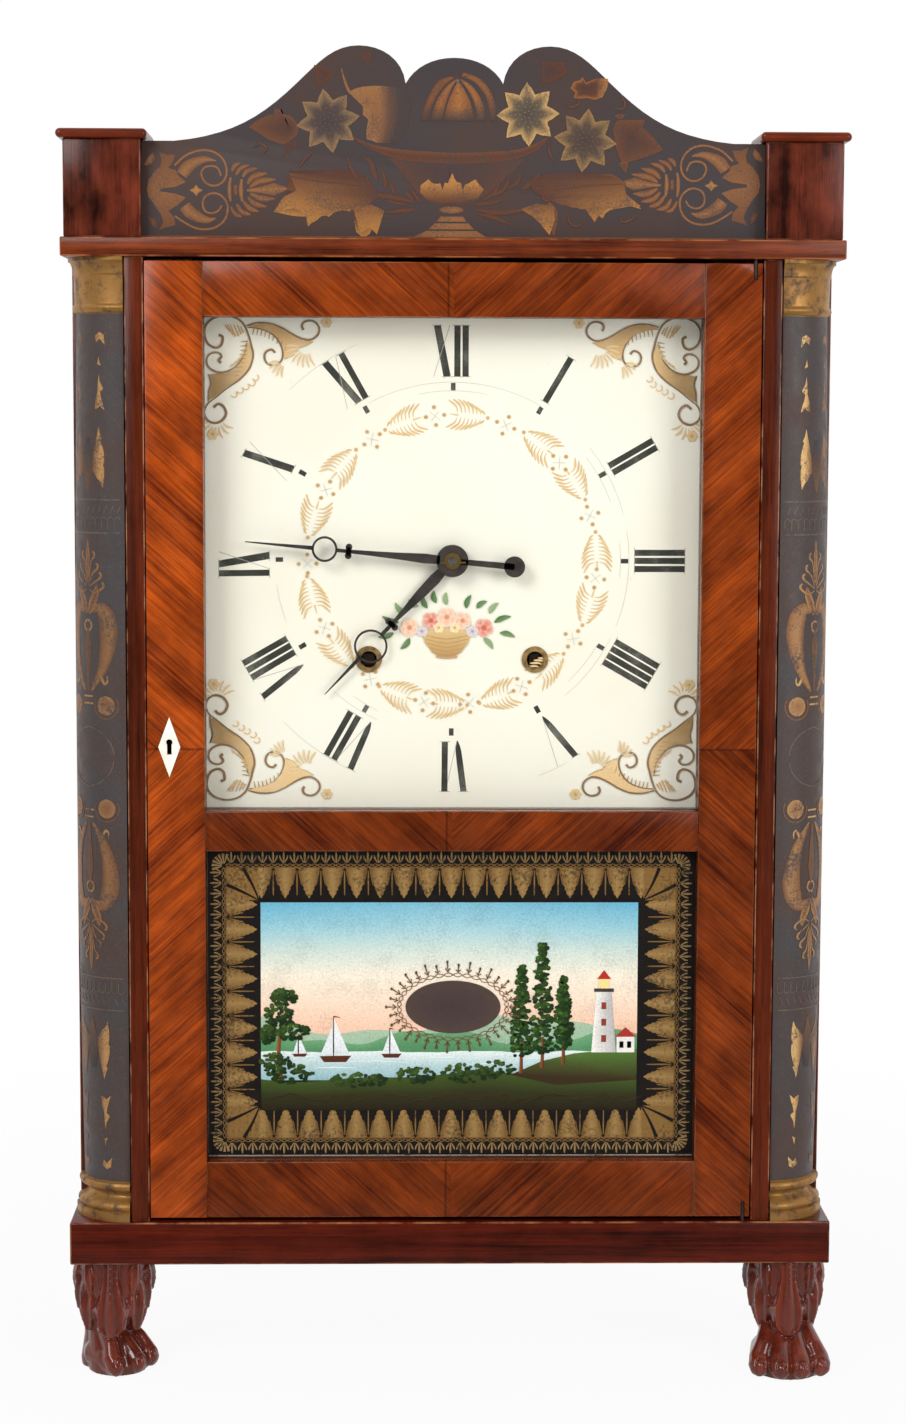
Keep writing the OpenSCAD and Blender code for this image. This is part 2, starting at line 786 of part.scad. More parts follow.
// A brass flange on the dial's face and a tube through the board
module dial_grommets() {
    color([0.8, 0.62, 0.3]) place() for (p = [time_drum, strike_drum]) difference() {
        union() {
            bar(p, dial_y - 0.8, dial_y, grommet_r);
            bar(p, dial_y, dial_back, grommet_r - 1.4);
        }
        bar(p, dial_y - 1, dial_back + 1, wind_hole_r);
    }
}

// A thin wooden button on a screw laps the edge of the dial board
button_y = dial_y - 0.3;

module turn_button(side) {
    color([0.5, 0.33, 0.18]) place() on_side(side) difference() {
        facing([button_x, 0], button_y) linear_extrude(button_t) {
            square([button_len - button_w, button_w], center = true);
            for (end = [-1, 1]) translate([end * (button_len - button_w) / 2, 0])
                circle(r = button_w / 2);
        }
        bar([button_x, 0], button_y - button_t - 1, button_y + 1, button_screw_r + fit_gap);
    }
}

// Iron fittings: button screws, verge stud, minute stud, bell post and pulley straps
module iron_fittings() {
    color([0.28, 0.28, 0.3]) place() {
        for (side = [-1, 1]) on_side(side) {
            bar([button_x, 0], button_y - button_t - 0.7, dial_back + batten_t, button_screw_r);
            bar([button_x, 0], button_y - button_t - 0.9, button_y - button_t - 0.1, 3);
            bar([button_x, 0], dial_y + 0.1, dial_back, 4);
            pulley_strap();
        }
        bar(pallet_at, stud_front, plate_y + 6, pallet_stud_r);
        bar(minute_at, dial_back + 0.3, plate_y + 6, pallet_stud_r);
        bar(minute_at, minute_wheel_y + 0.3, plate_y, 3);
        translate([bell_x, bell_y, bell_z + bell_h - 6]) cylinder(h = 16, r = 2.5);
        translate([bell_x, bell_y, bell_z + bell_h - bell_wall - 4]) cylinder(h = 3.2, r = 4);
        translate([bell_x, bell_y - 2.5, bell_z + bell_h + 10]) rotate([-90, 0, 0])
            cylinder(h = back_front - bell_y + 2.5, r = 2.5);
    }
}

stud_front = plate_y - 9;
pallet_stud_r = 1.5;
hanger_y = stud_front + 1.6;
rod_r = 0.9;

// Two iron cheeks with a pin between them hang from the cornice
module pulley_strap() {
    gap = pulley_t / 2 + run_gap;
    for (end = [-1, 1])
        translate([0, cord_y + end * (gap + strap_t / 2), 0])
            block([pulley_x - strap_w / 2, -strap_t / 2, pulley_z - 6],
                [pulley_x + strap_w / 2, strap_t / 2, case_top]);
    translate([pulley_x, cord_y - gap - strap_t, pulley_z]) rotate([-90, 0, 0])
        cylinder(h = 2 * (gap + strap_t), r = pulley_hole_r - fit_gap);
}

// Hands and motion work

minute_ring_at = 72;
minute_ring_r = 7.2;
minute_blade_w = 5.4;
minute_tail = 35;
minute_tail_r = 6;
minute_disc_r = 9;
collet_r = 5.4;
collet_t = 0.9;
hour_ring_at = 64.5;
hour_ring_r = 9.2;
hour_blade_w = 6.6;
hour_disc_r = 10;
tail_w = 2.4;
pin_half = 5;
pin_r = 0.6;

// A toothed wheel: n teeth of module m, with a tooth centred at angle phase
function rim(n, m, phase, root = 0.24, tip = 0.11) = [for (i = [0:n - 1])
    let (r0 = m * n / 2 - 1.2 * m, r1 = m * n / 2 + 0.85 * m, step = 360 / n)
    for (q = [[-root, r0], [-tip, r1], [tip, r1], [root, r0]])
        let (angle = phase + (i + q[0]) * step) q[1] * [cos(angle), sin(angle)]];
module toothed(n, m, t, phase) {
    linear_extrude(t) polygon(rim(n, m, phase));
}

// Phase that puts wheel b in mesh with wheel a, whose tooth stands at angle phase_a
function meshed(a, b, phase_a, na, nb) =
    let (line = angle_to(a, b))
    line + 180 + 180 / nb - (phase_a - line) * na / nb;

cannon_phase = 0;
minute_phase = meshed(hub, minute_at, cannon_phase, leaf_cannon, minute_n);
second_front_phase = meshed(minute_at, second_at, minute_phase, minute_n, leaf_cannon);
hour_phase = meshed(minute_at, hub, minute_phase, leaf_minute, hour_n);

module hand_at(angle, y) {
    facing(hub, y) rotate([0, 0, angle]) linear_extrude(hand_t) children();
}

// Blade from the hub to a ring near the tip, with a point beyond
module blade(len, ring_at, ring_r, wide) {
    polygon([[0, -wide / 2], [len * 0.28, -wide / 2], [ring_at - ring_r + 0.5, -0.8],
        [ring_at - ring_r + 0.5, 0.8], [len * 0.28, wide / 2], [0, wide / 2]]);
    translate([ring_at, 0]) difference() {
        circle(r = ring_r);
        circle(r = ring_r - 1.2);
    }
    polygon([[ring_at + ring_r - 0.6, -1.6], [len, 0], [ring_at + ring_r - 0.6, 1.6]]);
}

// The minute hand with its brass collet, and the taper pin through the arbor before it
module minute_hand() {
    place() difference() {
        union() {
            color([0.12, 0.11, 0.12]) hand_at(minute_angle, minute_hand_y) {
                blade(minute_len, minute_ring_at, minute_ring_r, minute_blade_w);
                translate([-minute_tail, -tail_w / 2]) square([minute_tail, tail_w]);
                translate([-minute_tail, 0]) circle(r = minute_tail_r);
                circle(r = minute_disc_r);
            }
            color([0.8, 0.65, 0.35]) bar(hub, minute_hand_y - hand_t - collet_t,
                minute_hand_y - hand_t / 8, collet_r);
        }
        bar(hub, minute_hand_y - 4, minute_hand_y + 1, minute_arbor_r + seat_gap);
    }
    color([0.8, 0.65, 0.35]) place() taper_pin(pin_r);
}

module taper_pin(r) {
    translate([0, hand_pin_y, hub_z]) rotate([0, 90 - minute_angle, 0])
        translate([0, 0, -pin_half]) cylinder(h = 2 * pin_half, r = r);
}

module hour_hand() {
    color([0.12, 0.11, 0.12]) place() hand_at(hour_angle, hour_hand_y) difference() {
        union() {
            blade(hour_len, hour_ring_at, hour_ring_r, hour_blade_w);
            circle(r = hour_disc_r);
        }
        circle(r = hour_pipe_r + seat_gap);
    }
}

module minute_arbor() {
    color([0.55, 0.38, 0.2]) place() difference() {
        union() {
            bar(hub, hand_pin_y - 1.6, plate_in_y + 3.5, minute_arbor_r);
            bar(hub, plate_in_y + run_gap, plate_in_y + 3, 5);
            bar(hub, minute_wheel_y, plate_y - run_gap, 4);
            facing(hub, minute_wheel_y)
                toothed(leaf_cannon, front_m, front_wheel_t, cannon_phase);
        }
        taper_pin(pin_r + seat_gap);
    }
}

module minute_wheel() {
    color([0.6, 0.42, 0.22]) place() difference() {
        union() {
            facing(minute_at, minute_wheel_y)
                toothed(minute_n, front_m, front_wheel_t, minute_phase);
            facing(minute_at, minute_wheel_y - front_wheel_t)
                toothed(leaf_minute, hour_m, front_wheel_t, minute_phase);
        }
        bar(minute_at, dial_back - 1, plate_y, pallet_stud_r + fit_gap);
    }
}

module hour_wheel() {
    color([0.6, 0.42, 0.22]) place() difference() {
        union() {
            facing(hub, hour_wheel_y) toothed(hour_n, hour_m, front_wheel_t - 0.2, hour_phase);
            bar(hub, hour_hand_y - hand_t - 0.6, hour_wheel_y, hour_pipe_r);
        }
        bar(hub, hour_hand_y - 5, hour_wheel_y + 1, minute_arbor_r + fit_gap);
    }
}

// The plates and their holes

through_arbors = [time_drum, strike_drum];
pillar_edge = 10;
pillar_inset = 24;
pillar_at = [for (side = [-1, 1],
    p = [[plate_w / 2 - pillar_inset, plate_h / 2 - pillar_edge],
        [plate_w / 2 - pillar_edge, pillar_edge - plate_h / 2]])
    [side * p[0], p[1]]];
plate_mid = [0, -14];
pillar_r = 6;
pivot_deep = 7;
blind_pivots = [third_at, pin_at, lock_at, fly_at, hammer_at];

module plate(y) {
    facing(plate_mid, y + plate_t) translate([-plate_w / 2, -plate_h / 2, 0])
        cube([plate_w, plate_h, plate_t]);
}

module front_plate() {
    color([0.62, 0.42, 0.22]) place() difference() {
        plate(plate_y);
        bar(hub, plate_y - 1, plate_in_y + 1, minute_arbor_r + fit_gap);
        for (p = through_arbors)
            bar(p, plate_y - 1, plate_in_y + 1, wind_arbor_r + fit_gap);
        for (p = [second_at, escape_at])
            bar(p, plate_y - 1, plate_in_y + 1, arbor_r + fit_gap);
        for (p = blind_pivots)
            bar(p, plate_in_y - pivot_deep - 0.5, plate_in_y + 1, pivot_r + fit_gap);
        for (p = [pallet_at, minute_at])
            bar(p, plate_y - 1, plate_y + 6, pallet_stud_r);
    }
}

module back_plate() {
    color([0.62, 0.42, 0.22]) place() {
        difference() {
            plate(plate_far_y);
            for (p = concat(through_arbors, [second_at, escape_at], blind_pivots))
                bar(p, plate_far_y - 1, plate_far_y + pivot_deep + 0.5, pivot_r + fit_gap);
        }
        for (p = pillar_at) bar(plate_mid + p, plate_in_y, plate_far_y, pillar_r);
    }
}

// An arbor with thin pivots that run in both plates
module arbor(p) {
    bar(p, plate_in_y + run_gap, plate_far_y - run_gap, arbor_r);
    bar(p, plate_in_y - pivot_deep, plate_far_y + pivot_deep, pivot_r);
}

// An arbor whose front end runs in a full-size hole and stands out to depth y
module long_arbor(p, y, r) {
    bar(p, y, plate_far_y - run_gap, r);
    bar(p, y, plate_far_y + pivot_deep, pivot_r);
}

great_phase = 0;
second_leaf_phase = meshed(time_drum, second_at, great_phase, great_n, leaf_great);
second_phase = 0;
third_leaf_phase = meshed(second_at, third_at, second_phase, second_n, leaf_train);
third_phase = 0;
escape_leaf_phase = meshed(third_at, escape_at, third_phase, third_n, leaf_last);
pin_leaf_phase = meshed(strike_drum, pin_at, great_phase, great_n, leaf_great);
pin_phase = 0;
lock_leaf_phase = meshed(pin_at, lock_at, pin_phase, pin_n, leaf_train);
lock_phase = 0;
fly_leaf_phase = meshed(lock_at, fly_at, lock_phase, lock_n, leaf_last);

// A great wheel runs loose on its winding arbor
module great_wheel(p) {
    difference() {
        facing(p, great_y) toothed(great_n, great_m, great_t, great_phase);
        bar(p, great_y - great_t - 1, great_y + 1, wind_arbor_r + fit_gap);
    }
}

module time_great_wheel() {
    color([0.66, 0.46, 0.25]) place() great_wheel(time_drum);
}

// The count wheel, with a notch after each hour's blows, is pinned to the great wheel
count_y = great_y - great_t;
count_r = 30;
function blows_before(hour) = hour * (hour + 1) / 2;

module strike_great_wheel() {
    color([0.66, 0.46, 0.25]) place() {
        great_wheel(strike_drum);
        difference() {
            facing(strike_drum, count_y) difference() {
                cylinder(h = 2.5, r = count_r);
                for (hour = [0:11])
                    rotate([0, 0, 360 * (blows_before(hour) + hour) / 90])
                        translate([count_r - 4, -1.2, -1]) cube([6, 2.4, 5]);
            }
            bar(strike_drum, plate_in_y, great_y, wind_arbor_r + fit_gap);
        }
    }
}

module second_wheel() {
    color([0.66, 0.46, 0.25]) place() {
        long_arbor(second_at, minute_wheel_y - front_wheel_t, arbor_r);
        facing(second_at, minute_wheel_y)
            toothed(leaf_cannon, front_m, front_wheel_t, second_front_phase);
        facing(second_at, great_y + 0.7)
            toothed(leaf_great, great_m, great_t + 1.4, second_leaf_phase);
        facing(second_at, second_y) toothed(second_n, train_m, train_t, second_phase);
    }
}

module third_wheel() {
    color([0.66, 0.46, 0.25]) place() {
        arbor(third_at);
        facing(third_at, second_y + 0.7)
            toothed(leaf_train, train_m, leaf_len, third_leaf_phase);
        facing(third_at, third_y) toothed(third_n, train_m, train_t, third_phase);
    }
}

// Brass wheel with raked pointed teeth, in front of the front plate
escape_root = escape_r - 3;
escape_rim = [for (i = [0:escape_n - 1])
    let (a = i * 360 / escape_n, s = 360 / escape_n)
    for (q = [[0, escape_r], [0.16, escape_r], [0.3, escape_root], [0.9, escape_root]])
        q[1] * [cos(a + q[0] * s), sin(a + q[0] * s)]];

module escape_wheel() {
    color([0.8, 0.65, 0.35]) place() {
        long_arbor(escape_at, escape_y - escape_t - 0.6, arbor_r);
        facing(escape_at, third_y + 0.7)
            toothed(leaf_last, train_m, leaf_len, escape_leaf_phase);
        facing(escape_at, escape_y) linear_extrude(escape_t) polygon(escape_rim);
    }
}

// A bent steel strip whose two ends stand just clear of the wheel, with its crutch wire
pallet_clear = 1.6;
pallet_half = 8.4;
strip_t = 1.1;
crutch_len = 40;
crutch_t = 0.8;
crutch_y = escape_y - escape_t - 1.2;

module verge() {
    top = escape_at[1] + escape_r + pallet_clear + 2.2 - pallet_at[1];
    color([0.45, 0.46, 0.5]) place() difference() {
        union() {
            bar(pallet_at, crutch_y - 1.2, escape_y + 0.8, 3);
            facing(pallet_at, escape_y) linear_extrude(escape_t) {
                polygon([[-3, -2], [-pallet_half - 4, top + 0.6], [-pallet_half - 4, top - 1.4],
                    [-pallet_half - 2.6, top - 5.6], [-pallet_half - 1.6, top - 5.6],
                    [-pallet_half - 2.6, top - 1.4], [-1, -2 - strip_t],
                    [1, -2 - strip_t], [pallet_half + 2.6, top - 1.4],
                    [pallet_half + 1.6, top - 5.6], [pallet_half + 2.6, top - 5.6],
                    [pallet_half + 4, top - 1.4], [pallet_half + 4, top + 0.6], [3, -2]]);
            }
            facing(pallet_at, crutch_y) translate([-0.7, -crutch_len, 0])
                cube([1.4, crutch_len, crutch_t]);
            for (side = [-1, 1])
                facing(pallet_at, crutch_y) translate([side * 1.9 - 0.5, -crutch_len - 5, 0])
                    cube([1, 5, crutch_y - hanger_y + 1.5]);
            facing(pallet_at, crutch_y) translate([-2.4, -crutch_len - 1, 0])
                cube([4.8, 1.4, crutch_t]);
        }
        bar(pallet_at, crutch_y - 3, escape_y + 2, pallet_stud_r + fit_gap);
    }
}

// A thin spring on the stud carries the rod
module pendulum_rod() {
    color([0.6, 0.6, 0.62]) place() {
        difference() {
            bar(pallet_at, hanger_y - 0.9, hanger_y + 0.4, 3);
            bar(pallet_at, hanger_y - 2, hanger_y + 2, pallet_stud_r + fit_gap);
        }
        facing(pallet_at, hanger_y) translate([-1.5, -18, 0]) cube([3, 16, 0.5]);
        facing(pallet_at - [0, 17], hanger_y) translate([0, 0, 0.25]) rotate([90, 0, 0])
            cylinder(h = pendulum_len + bob_r - 5, r = rod_r);
    }
}

module pendulum_bob() {
    color([0.8, 0.62, 0.3]) place() difference() {
        facing(pallet_at - [0, pendulum_len], hanger_y - 0.25) rotate_extrude()
            polygon([[0, -4], [bob_r * 0.6, -3.2], [bob_r, -0.6], [bob_r, 0.6],
                [bob_r * 0.6, 3.2], [0, 4]]);
        facing(pallet_at - [0, 17], hanger_y) translate([0, 0, 0.25]) rotate([90, 0, 0])
            cylinder(h = pendulum_len + bob_r, r = rod_r + seat_gap);
    }
}

// The striking train

pin_circle = 24;
pins = 9;

module pin_wheel() {
    color([0.66, 0.46, 0.25]) place() {
        arbor(pin_at);
        facing(pin_at, great_y + 0.7)
            toothed(leaf_great, great_m, great_t + 1.4, pin_leaf_phase);
        facing(pin_at, second_y) toothed(pin_n, train_m, train_t, pin_phase);
        for (i = [0:pins - 1])
            bar(along(pin_at, i * 360 / pins, pin_circle), second_y - train_t - 5,
                second_y - train_t, 0.9);
    }
}

module lock_wheel() {
    color([0.66, 0.46, 0.25]) place() {
        arbor(lock_at);
        facing(lock_at, second_y + 0.7)
            toothed(leaf_train, train_m, leaf_len, lock_leaf_phase);
        facing(lock_at, lock_y) toothed(lock_n, train_m, train_t, lock_phase);
    }
}

fly_half = 20;
fly_d = 12;
fly_back = 4;

module fly() {
    color([0.66, 0.46, 0.25]) place() {
        arbor(fly_at);
        facing(fly_at, lock_y + 0.7)
            toothed(leaf_last, train_m, leaf_len, fly_leaf_phase);
        facing(fly_at, third_y + fly_back) translate([-fly_half, -1, 0])
            cube([2 * fly_half, 2, fly_d]);
    }
}

// The hammer: an arbor with a tail towards the pins and a wire down to the head
hammer_rest = 1.2;
hammer_above = 5;
elbow_out = 3;
elbow_down = 14;
hammer_wire = 2.4;
hammer_tail_gap = 1.6;
hammer_tail_w = 2;
hammer_tail_t = 3;

module hammer() {
    tail_angle = angle_to(hammer_at, pin_at);
    tail_len = norm(pin_at - hammer_at) - pin_circle - hammer_tail_gap;
    head = [bell_x - bell_r - hammer_head_len - hammer_rest, bell_z + hammer_above - hub_z];
    wire_end = head + [hammer_head_len / 2, 0];
    elbow = [wire_end[0] - elbow_out, hammer_at[1] - elbow_down];
    color([0.4, 0.4, 0.43]) place() {
        arbor(hammer_at);
        facing(hammer_at, hammer_y) rotate([0, 0, tail_angle])
            translate([0, -hammer_tail_w / 2, 0])
                cube([tail_len, hammer_tail_w, hammer_tail_t]);
        for (run = [[hammer_at, elbow], [elbow, wire_end]])
            facing(run[0], bell_y + hammer_wire / 2)
                rotate([0, 0, angle_to(run[0], run[1])]) translate([-1, -hammer_wire / 2, 0])
                    cube([norm(run[1] - run[0]) + 1, hammer_wire, hammer_wire]);
        translate([head[0], bell_y, hub_z + head[1]]) rotate([0, 90, 0])
            cylinder(h = hammer_head_len, r = hammer_head_r);
    }
}

// Cast bell, mouth down, hung on its post. Its dome is a quarter ellipse.
bell_lip = 4;
bell_hole_r = 2.5 + fit_gap;
function dome(r, rise, z0, n, back) = [for (i = [0:n])
    let (a = 90 * (back ? n - i : i) / n)
    [bell_hole_r + (r - bell_hole_r) * cos(a), z0 + rise * sin(a)]];

module bell() {
    color([0.36, 0.34, 0.32]) place() translate([bell_x, bell_y, bell_z])
        rotate_extrude() polygon(concat(
            [[bell_r, 0], [bell_r - 1, bell_lip / 2]],
            dome(bell_r - bell_lip, bell_h - bell_lip, bell_lip, 8, false),
            dome(bell_r - bell_lip - bell_wall, bell_h - bell_lip - bell_wall, bell_lip, 8, true),
            [[bell_r - bell_wall, 0]]));
}

// Drums, cords, pulleys and weights

flange_rise = 4;
arbor_stub = 4;
square_in = 1.5;

module winding_drum(p) {
    core = drum_r - cord_d / 2 - run_gap;
    square_high = plate_y - arbor_stub + 0.1;
    color([0.7, 0.5, 0.3]) place() {
        bar(p, drum_y - drum_t, drum_y, core);
        bar(p, drum_y - flange_t, drum_y, core + flange_rise);
        bar(p, drum_y - drum_t, drum_y - drum_t + flange_t, core + flange_rise);
        bar(p, plate_y - arbor_stub, plate_far_y - run_gap, wind_arbor_r);
        bar(p, plate_in_y, plate_far_y + pivot_deep, pivot_r);
        facing(p, square_high) translate([-square_r, -square_r, 0])
            cube([2 * square_r, 2 * square_r, square_high - dial_y - square_in]);
    }
}

// The cord runs from the outer side of the drum, crosses to the pulley's inner side, goes
// over it and hangs to the weight
pulley_at = [pulley_x, pulley_z - hub_z];
drum_to_pulley = norm(pulley_at - time_drum);
cord_normal = angle_to(time_drum, pulley_at) - acos((drum_r + pulley_r) / drum_to_pulley);
cord_from = along(time_drum, cord_normal, drum_r);
cord_to = along(pulley_at, cord_normal + 180, pulley_r);

module weight_cords() {
    color([0.75, 0.7, 0.6]) place() for (side = [-1, 1]) on_side(side) {
        facing(cord_from, cord_y) rotate([0, 0, angle_to(cord_from, cord_to)])
            rotate([0, 90, 0]) cylinder(h = norm(cord_to - cord_from), r = cord_d / 2);
        facing(pulley_at, cord_y) rotate([0, 0, 0])
            rotate_extrude(angle = cord_normal + 180, $fn = 96)
                translate([pulley_r, 0]) circle(r = cord_d / 2);
    }
}

module pulley(side) {
    color([0.6, 0.45, 0.28]) place() on_side(side)
        facing(pulley_at, cord_y + pulley_t / 2) difference() {
            rotate_extrude($fn = 96) polygon([[pulley_hole_r, 0], [pulley_r + pulley_rim, 0],
                [pulley_r + pulley_rim, 1], [pulley_r - cord_d / 2 - 0.1, pulley_t / 2 - 1.2],
                [pulley_r - cord_d / 2 - 0.1, pulley_t / 2 + 1.2],
                [pulley_r + pulley_rim, pulley_t - 1], [pulley_r + pulley_rim, pulley_t],
                [pulley_hole_r, pulley_t]]);
        }
}

weight_top = weight_low + weight_h;

module weight(side) {
    color([0.2, 0.2, 0.21]) place() on_side(side) {
        block([weight_x - weight_w / 2, cord_y - weight_d / 2, weight_low],
            [weight_x + weight_w / 2, cord_y + weight_d / 2, weight_top]);
        translate([weight_x, cord_y, weight_top]) cylinder(h = hook_h, r = 2.5);
    }
}

module drop_cord(side) {
    color([0.75, 0.7, 0.6]) place() on_side(side)
        translate([weight_x, cord_y, weight_top + hook_h])
            cylinder(h = pulley_z - weight_top - hook_h, r = cord_d / 2);
}

base_slab();
cornice_board();
case_side(-1);  // case_side_left
case_side(1);  // case_side_right
back_board();
front_stile(-1);  // front_stile_left
front_stile(1);  // front_stile_right
column(-1);  // column_left
column(1);  // column_right
plinth_blocks();
plinth_caps();
crest_board();
paw_foot(-1, left_turn);  // paw_foot_left
paw_foot(1, 0);  // paw_foot_right
rear_feet();
case_battens();
dial_board();
dial_grommets();
turn_button(-1);  // turn_button_left
turn_button(1);  // turn_button_right
iron_fittings();
door_stile(-1);  // door_stile_left
door_stile(1);  // door_stile_right
door_rails();
dial_glass();
tablet_glass();
glazing_beads();
escutcheon();
door_lock();
lock_bolt();
door_pivots();
minute_hand();
hour_hand();
minute_arbor();
minute_wheel();
hour_wheel();
front_plate();
back_plate();
time_great_wheel();
second_wheel();
third_wheel();
escape_wheel();
verge();
pendulum_rod();
pendulum_bob();
strike_great_wheel();
pin_wheel();
lock_wheel();
fly();
hammer();
bell();
winding_drum(time_drum);  // winding_drum_time
winding_drum(strike_drum);  // winding_drum_strike
weight(1);  // weight_time
weight(-1);  // weight_strike
pulley(1);  // pulley_time
pulley(-1);  // pulley_strike
weight_cords();
drop_cord(1);  // drop_cord_time
drop_cord(-1);  // drop_cord_strike
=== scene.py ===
import random
from math import asin, ceil, cos, dist, exp, hypot, pi, radians, sin, sqrt

import bmesh
import bpy
from mathutils import Matrix, Vector
from mathutils.geometry import tessellate_polygon


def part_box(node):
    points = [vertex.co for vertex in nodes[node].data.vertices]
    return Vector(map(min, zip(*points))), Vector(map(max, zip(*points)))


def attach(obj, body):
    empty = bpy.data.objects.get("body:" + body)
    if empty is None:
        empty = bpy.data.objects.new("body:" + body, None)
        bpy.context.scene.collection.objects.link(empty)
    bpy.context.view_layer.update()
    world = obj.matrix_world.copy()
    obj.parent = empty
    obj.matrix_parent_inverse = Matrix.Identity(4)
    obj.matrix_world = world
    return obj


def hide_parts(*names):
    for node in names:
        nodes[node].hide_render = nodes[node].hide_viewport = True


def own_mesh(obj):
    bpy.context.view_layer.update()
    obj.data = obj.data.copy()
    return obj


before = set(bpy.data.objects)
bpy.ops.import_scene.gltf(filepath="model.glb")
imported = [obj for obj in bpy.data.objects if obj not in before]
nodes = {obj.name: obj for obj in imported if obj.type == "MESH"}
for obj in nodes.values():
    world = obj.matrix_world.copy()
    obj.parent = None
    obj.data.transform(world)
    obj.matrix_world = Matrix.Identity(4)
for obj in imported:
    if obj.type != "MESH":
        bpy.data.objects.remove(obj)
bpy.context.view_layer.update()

# The photographer's camera stood a little left of the clock and looked slightly down.
# Its place and angles come from the straight edges of the case in the photograph.
PHOTO_W = 906
FOCAL_PX = 2858.3
CAMERA_AT = Vector((-0.0339, -1.6353, 0.5449))
CAMERA_DOWN = 0.10341
CAMERA_YAW = 0.02151
CAMERA_ROLL = 0.00365


def linked(name, data):
    thing = bpy.data.objects.new(name, data)
    bpy.context.scene.collection.objects.link(thing)
    return thing


ahead = Vector((sin(CAMERA_YAW) * cos(CAMERA_DOWN), cos(CAMERA_YAW) * cos(CAMERA_DOWN), -sin(CAMERA_DOWN)))
level = Vector((cos(CAMERA_YAW), -sin(CAMERA_YAW), 0))
upright = level.cross(ahead)
tilt_x = cos(CAMERA_ROLL) * level + sin(CAMERA_ROLL) * upright
tilt_y = cos(CAMERA_ROLL) * upright - sin(CAMERA_ROLL) * level
camera = linked("camera", bpy.data.cameras.new("camera"))
camera.data.sensor_fit = "HORIZONTAL"
camera.data.sensor_width = 36
camera.data.lens = FOCAL_PX * camera.data.sensor_width / PHOTO_W
camera.matrix_world = Matrix.Translation(CAMERA_AT) @ Matrix((tilt_x, tilt_y, -ahead)).transposed().to_4x4()
bpy.context.scene.camera = camera


# The studio: a white paper floor, two soft lamps in front and a weak even light. The room
# in front of the clock is dim, so its mirror image doesn't veil the dark wood. Shader trees
# here and below are built with put(), which links sockets and sets numbers, and its short forms.
def feed(socket, value):
    """Sets or links a socket. A node stands for the output that it is mostly read by"""
    if isinstance(value, bpy.types.Node):
        usual = {"TEX_COORD": "Object", "ATTRIBUTE": "Fac", "TEX_WAVE": "Fac"}.get(value.type, 0)
        if value.type == "MIX" and value.data_type == "RGBA":
            usual = 2
        value = value.outputs[usual]
    if isinstance(value, bpy.types.NodeSocket):
        socket.id_data.links.new(value, socket)
    else:
        socket.default_value = value


def put(tree, kind, given=None, **settings):
    made = tree.nodes.new("ShaderNode" + kind)
    for name, value in settings.items():
        setattr(made, name, value)
    for name, value in (given or {}).items():
        feed(made.inputs[name], value)
    return made


def calc(tree, operation, *values, **settings):
    return put(tree, "Math", dict(enumerate(values)), operation=operation, **settings)


def span(tree, value, low, high, first=0, last=1):
    """Maps low to high onto first to last"""
    return put(tree, "MapRange", {0: value, 1: low, 2: high, 3: first, 4: last})


def tint(red, green, blue):
    """A colour given as it is seen, 0 to 255"""
    seen = [value / 255 for value in (red, green, blue)]
    return tuple(value / 12.92 if value < 0.04045 else ((value + 0.055) / 1.055) ** 2.4
        for value in seen) + (1,)


def new_material(name):
    material = bpy.data.materials.new(name)
    material.use_nodes = True
    material.node_tree.nodes.clear()
    return material, material.node_tree


def surfaced(material, shader):
    put(material.node_tree, "OutputMaterial", {"Surface": shader})
    return material


WHITE = (1, 1, 1, 1)
FLOOR_RADIUS = 1.6
paper, tree = new_material("studio_paper")
path = put(tree, "LightPath").outputs
spot = put(tree, "TexCoord")
away = put(tree, "VectorMath", {0: spot}, operation="LENGTH").outputs["Value"]
through = calc(tree, "MAXIMUM", path["Is Camera Ray"], path["Is Transmission Ray"])
keep_white = calc(tree, "MULTIPLY", through, span(tree, away, 0.25, 0.9, 0.93, 1))
lit = put(tree, "BsdfDiffuse", {"Color": tint(238, 238, 238)})
glow = put(tree, "Emission", {"Color": WHITE, "Strength": 1})
sheet = put(tree, "MixShader", {0: keep_white, 1: lit, 2: glow})
depth = put(tree, "SeparateXYZ", {0: spot}).outputs["Y"]
mirrored = put(tree, "Emission", {"Color": WHITE, "Strength": span(tree, depth, -0.25, 0.15, 0.12, 0.95)})
surfaced(paper, put(tree, "MixShader", {0: path["Is Glossy Ray"], 1: sheet, 2: mirrored}))
floor_mesh = bpy.data.meshes.new("floor")
floor_mesh.from_pydata([(FLOOR_RADIUS * cos(radians(step * 5)), FLOOR_RADIUS * sin(radians(step * 5)), 0)
    for step in range(72)], [], [range(72)])
floor_mesh.materials.append(paper)
floor = linked("floor", floor_mesh)

world = bpy.data.worlds.new("studio")
bpy.context.scene.world = world
world.use_nodes = True
tree = world.node_tree
tree.nodes.clear()
path = put(tree, "LightPath").outputs
aim = put(tree, "SeparateXYZ", {0: put(tree, "TexCoord").outputs["Generated"]}).outputs["Y"]
room = span(tree, aim, -0.35, 0.35, 0.08, 1)
strength = put(tree, "Mix", {0: path["Is Glossy Ray"], 2: 0.55, 3: room})
through = calc(tree, "MAXIMUM", path["Is Camera Ray"], path["Is Transmission Ray"])
strength = put(tree, "Mix", {0: through, 2: strength, 3: 1})
sky = put(tree, "Background", {"Color": WHITE, "Strength": strength})
put(tree, "OutputWorld", {"Surface": sky})


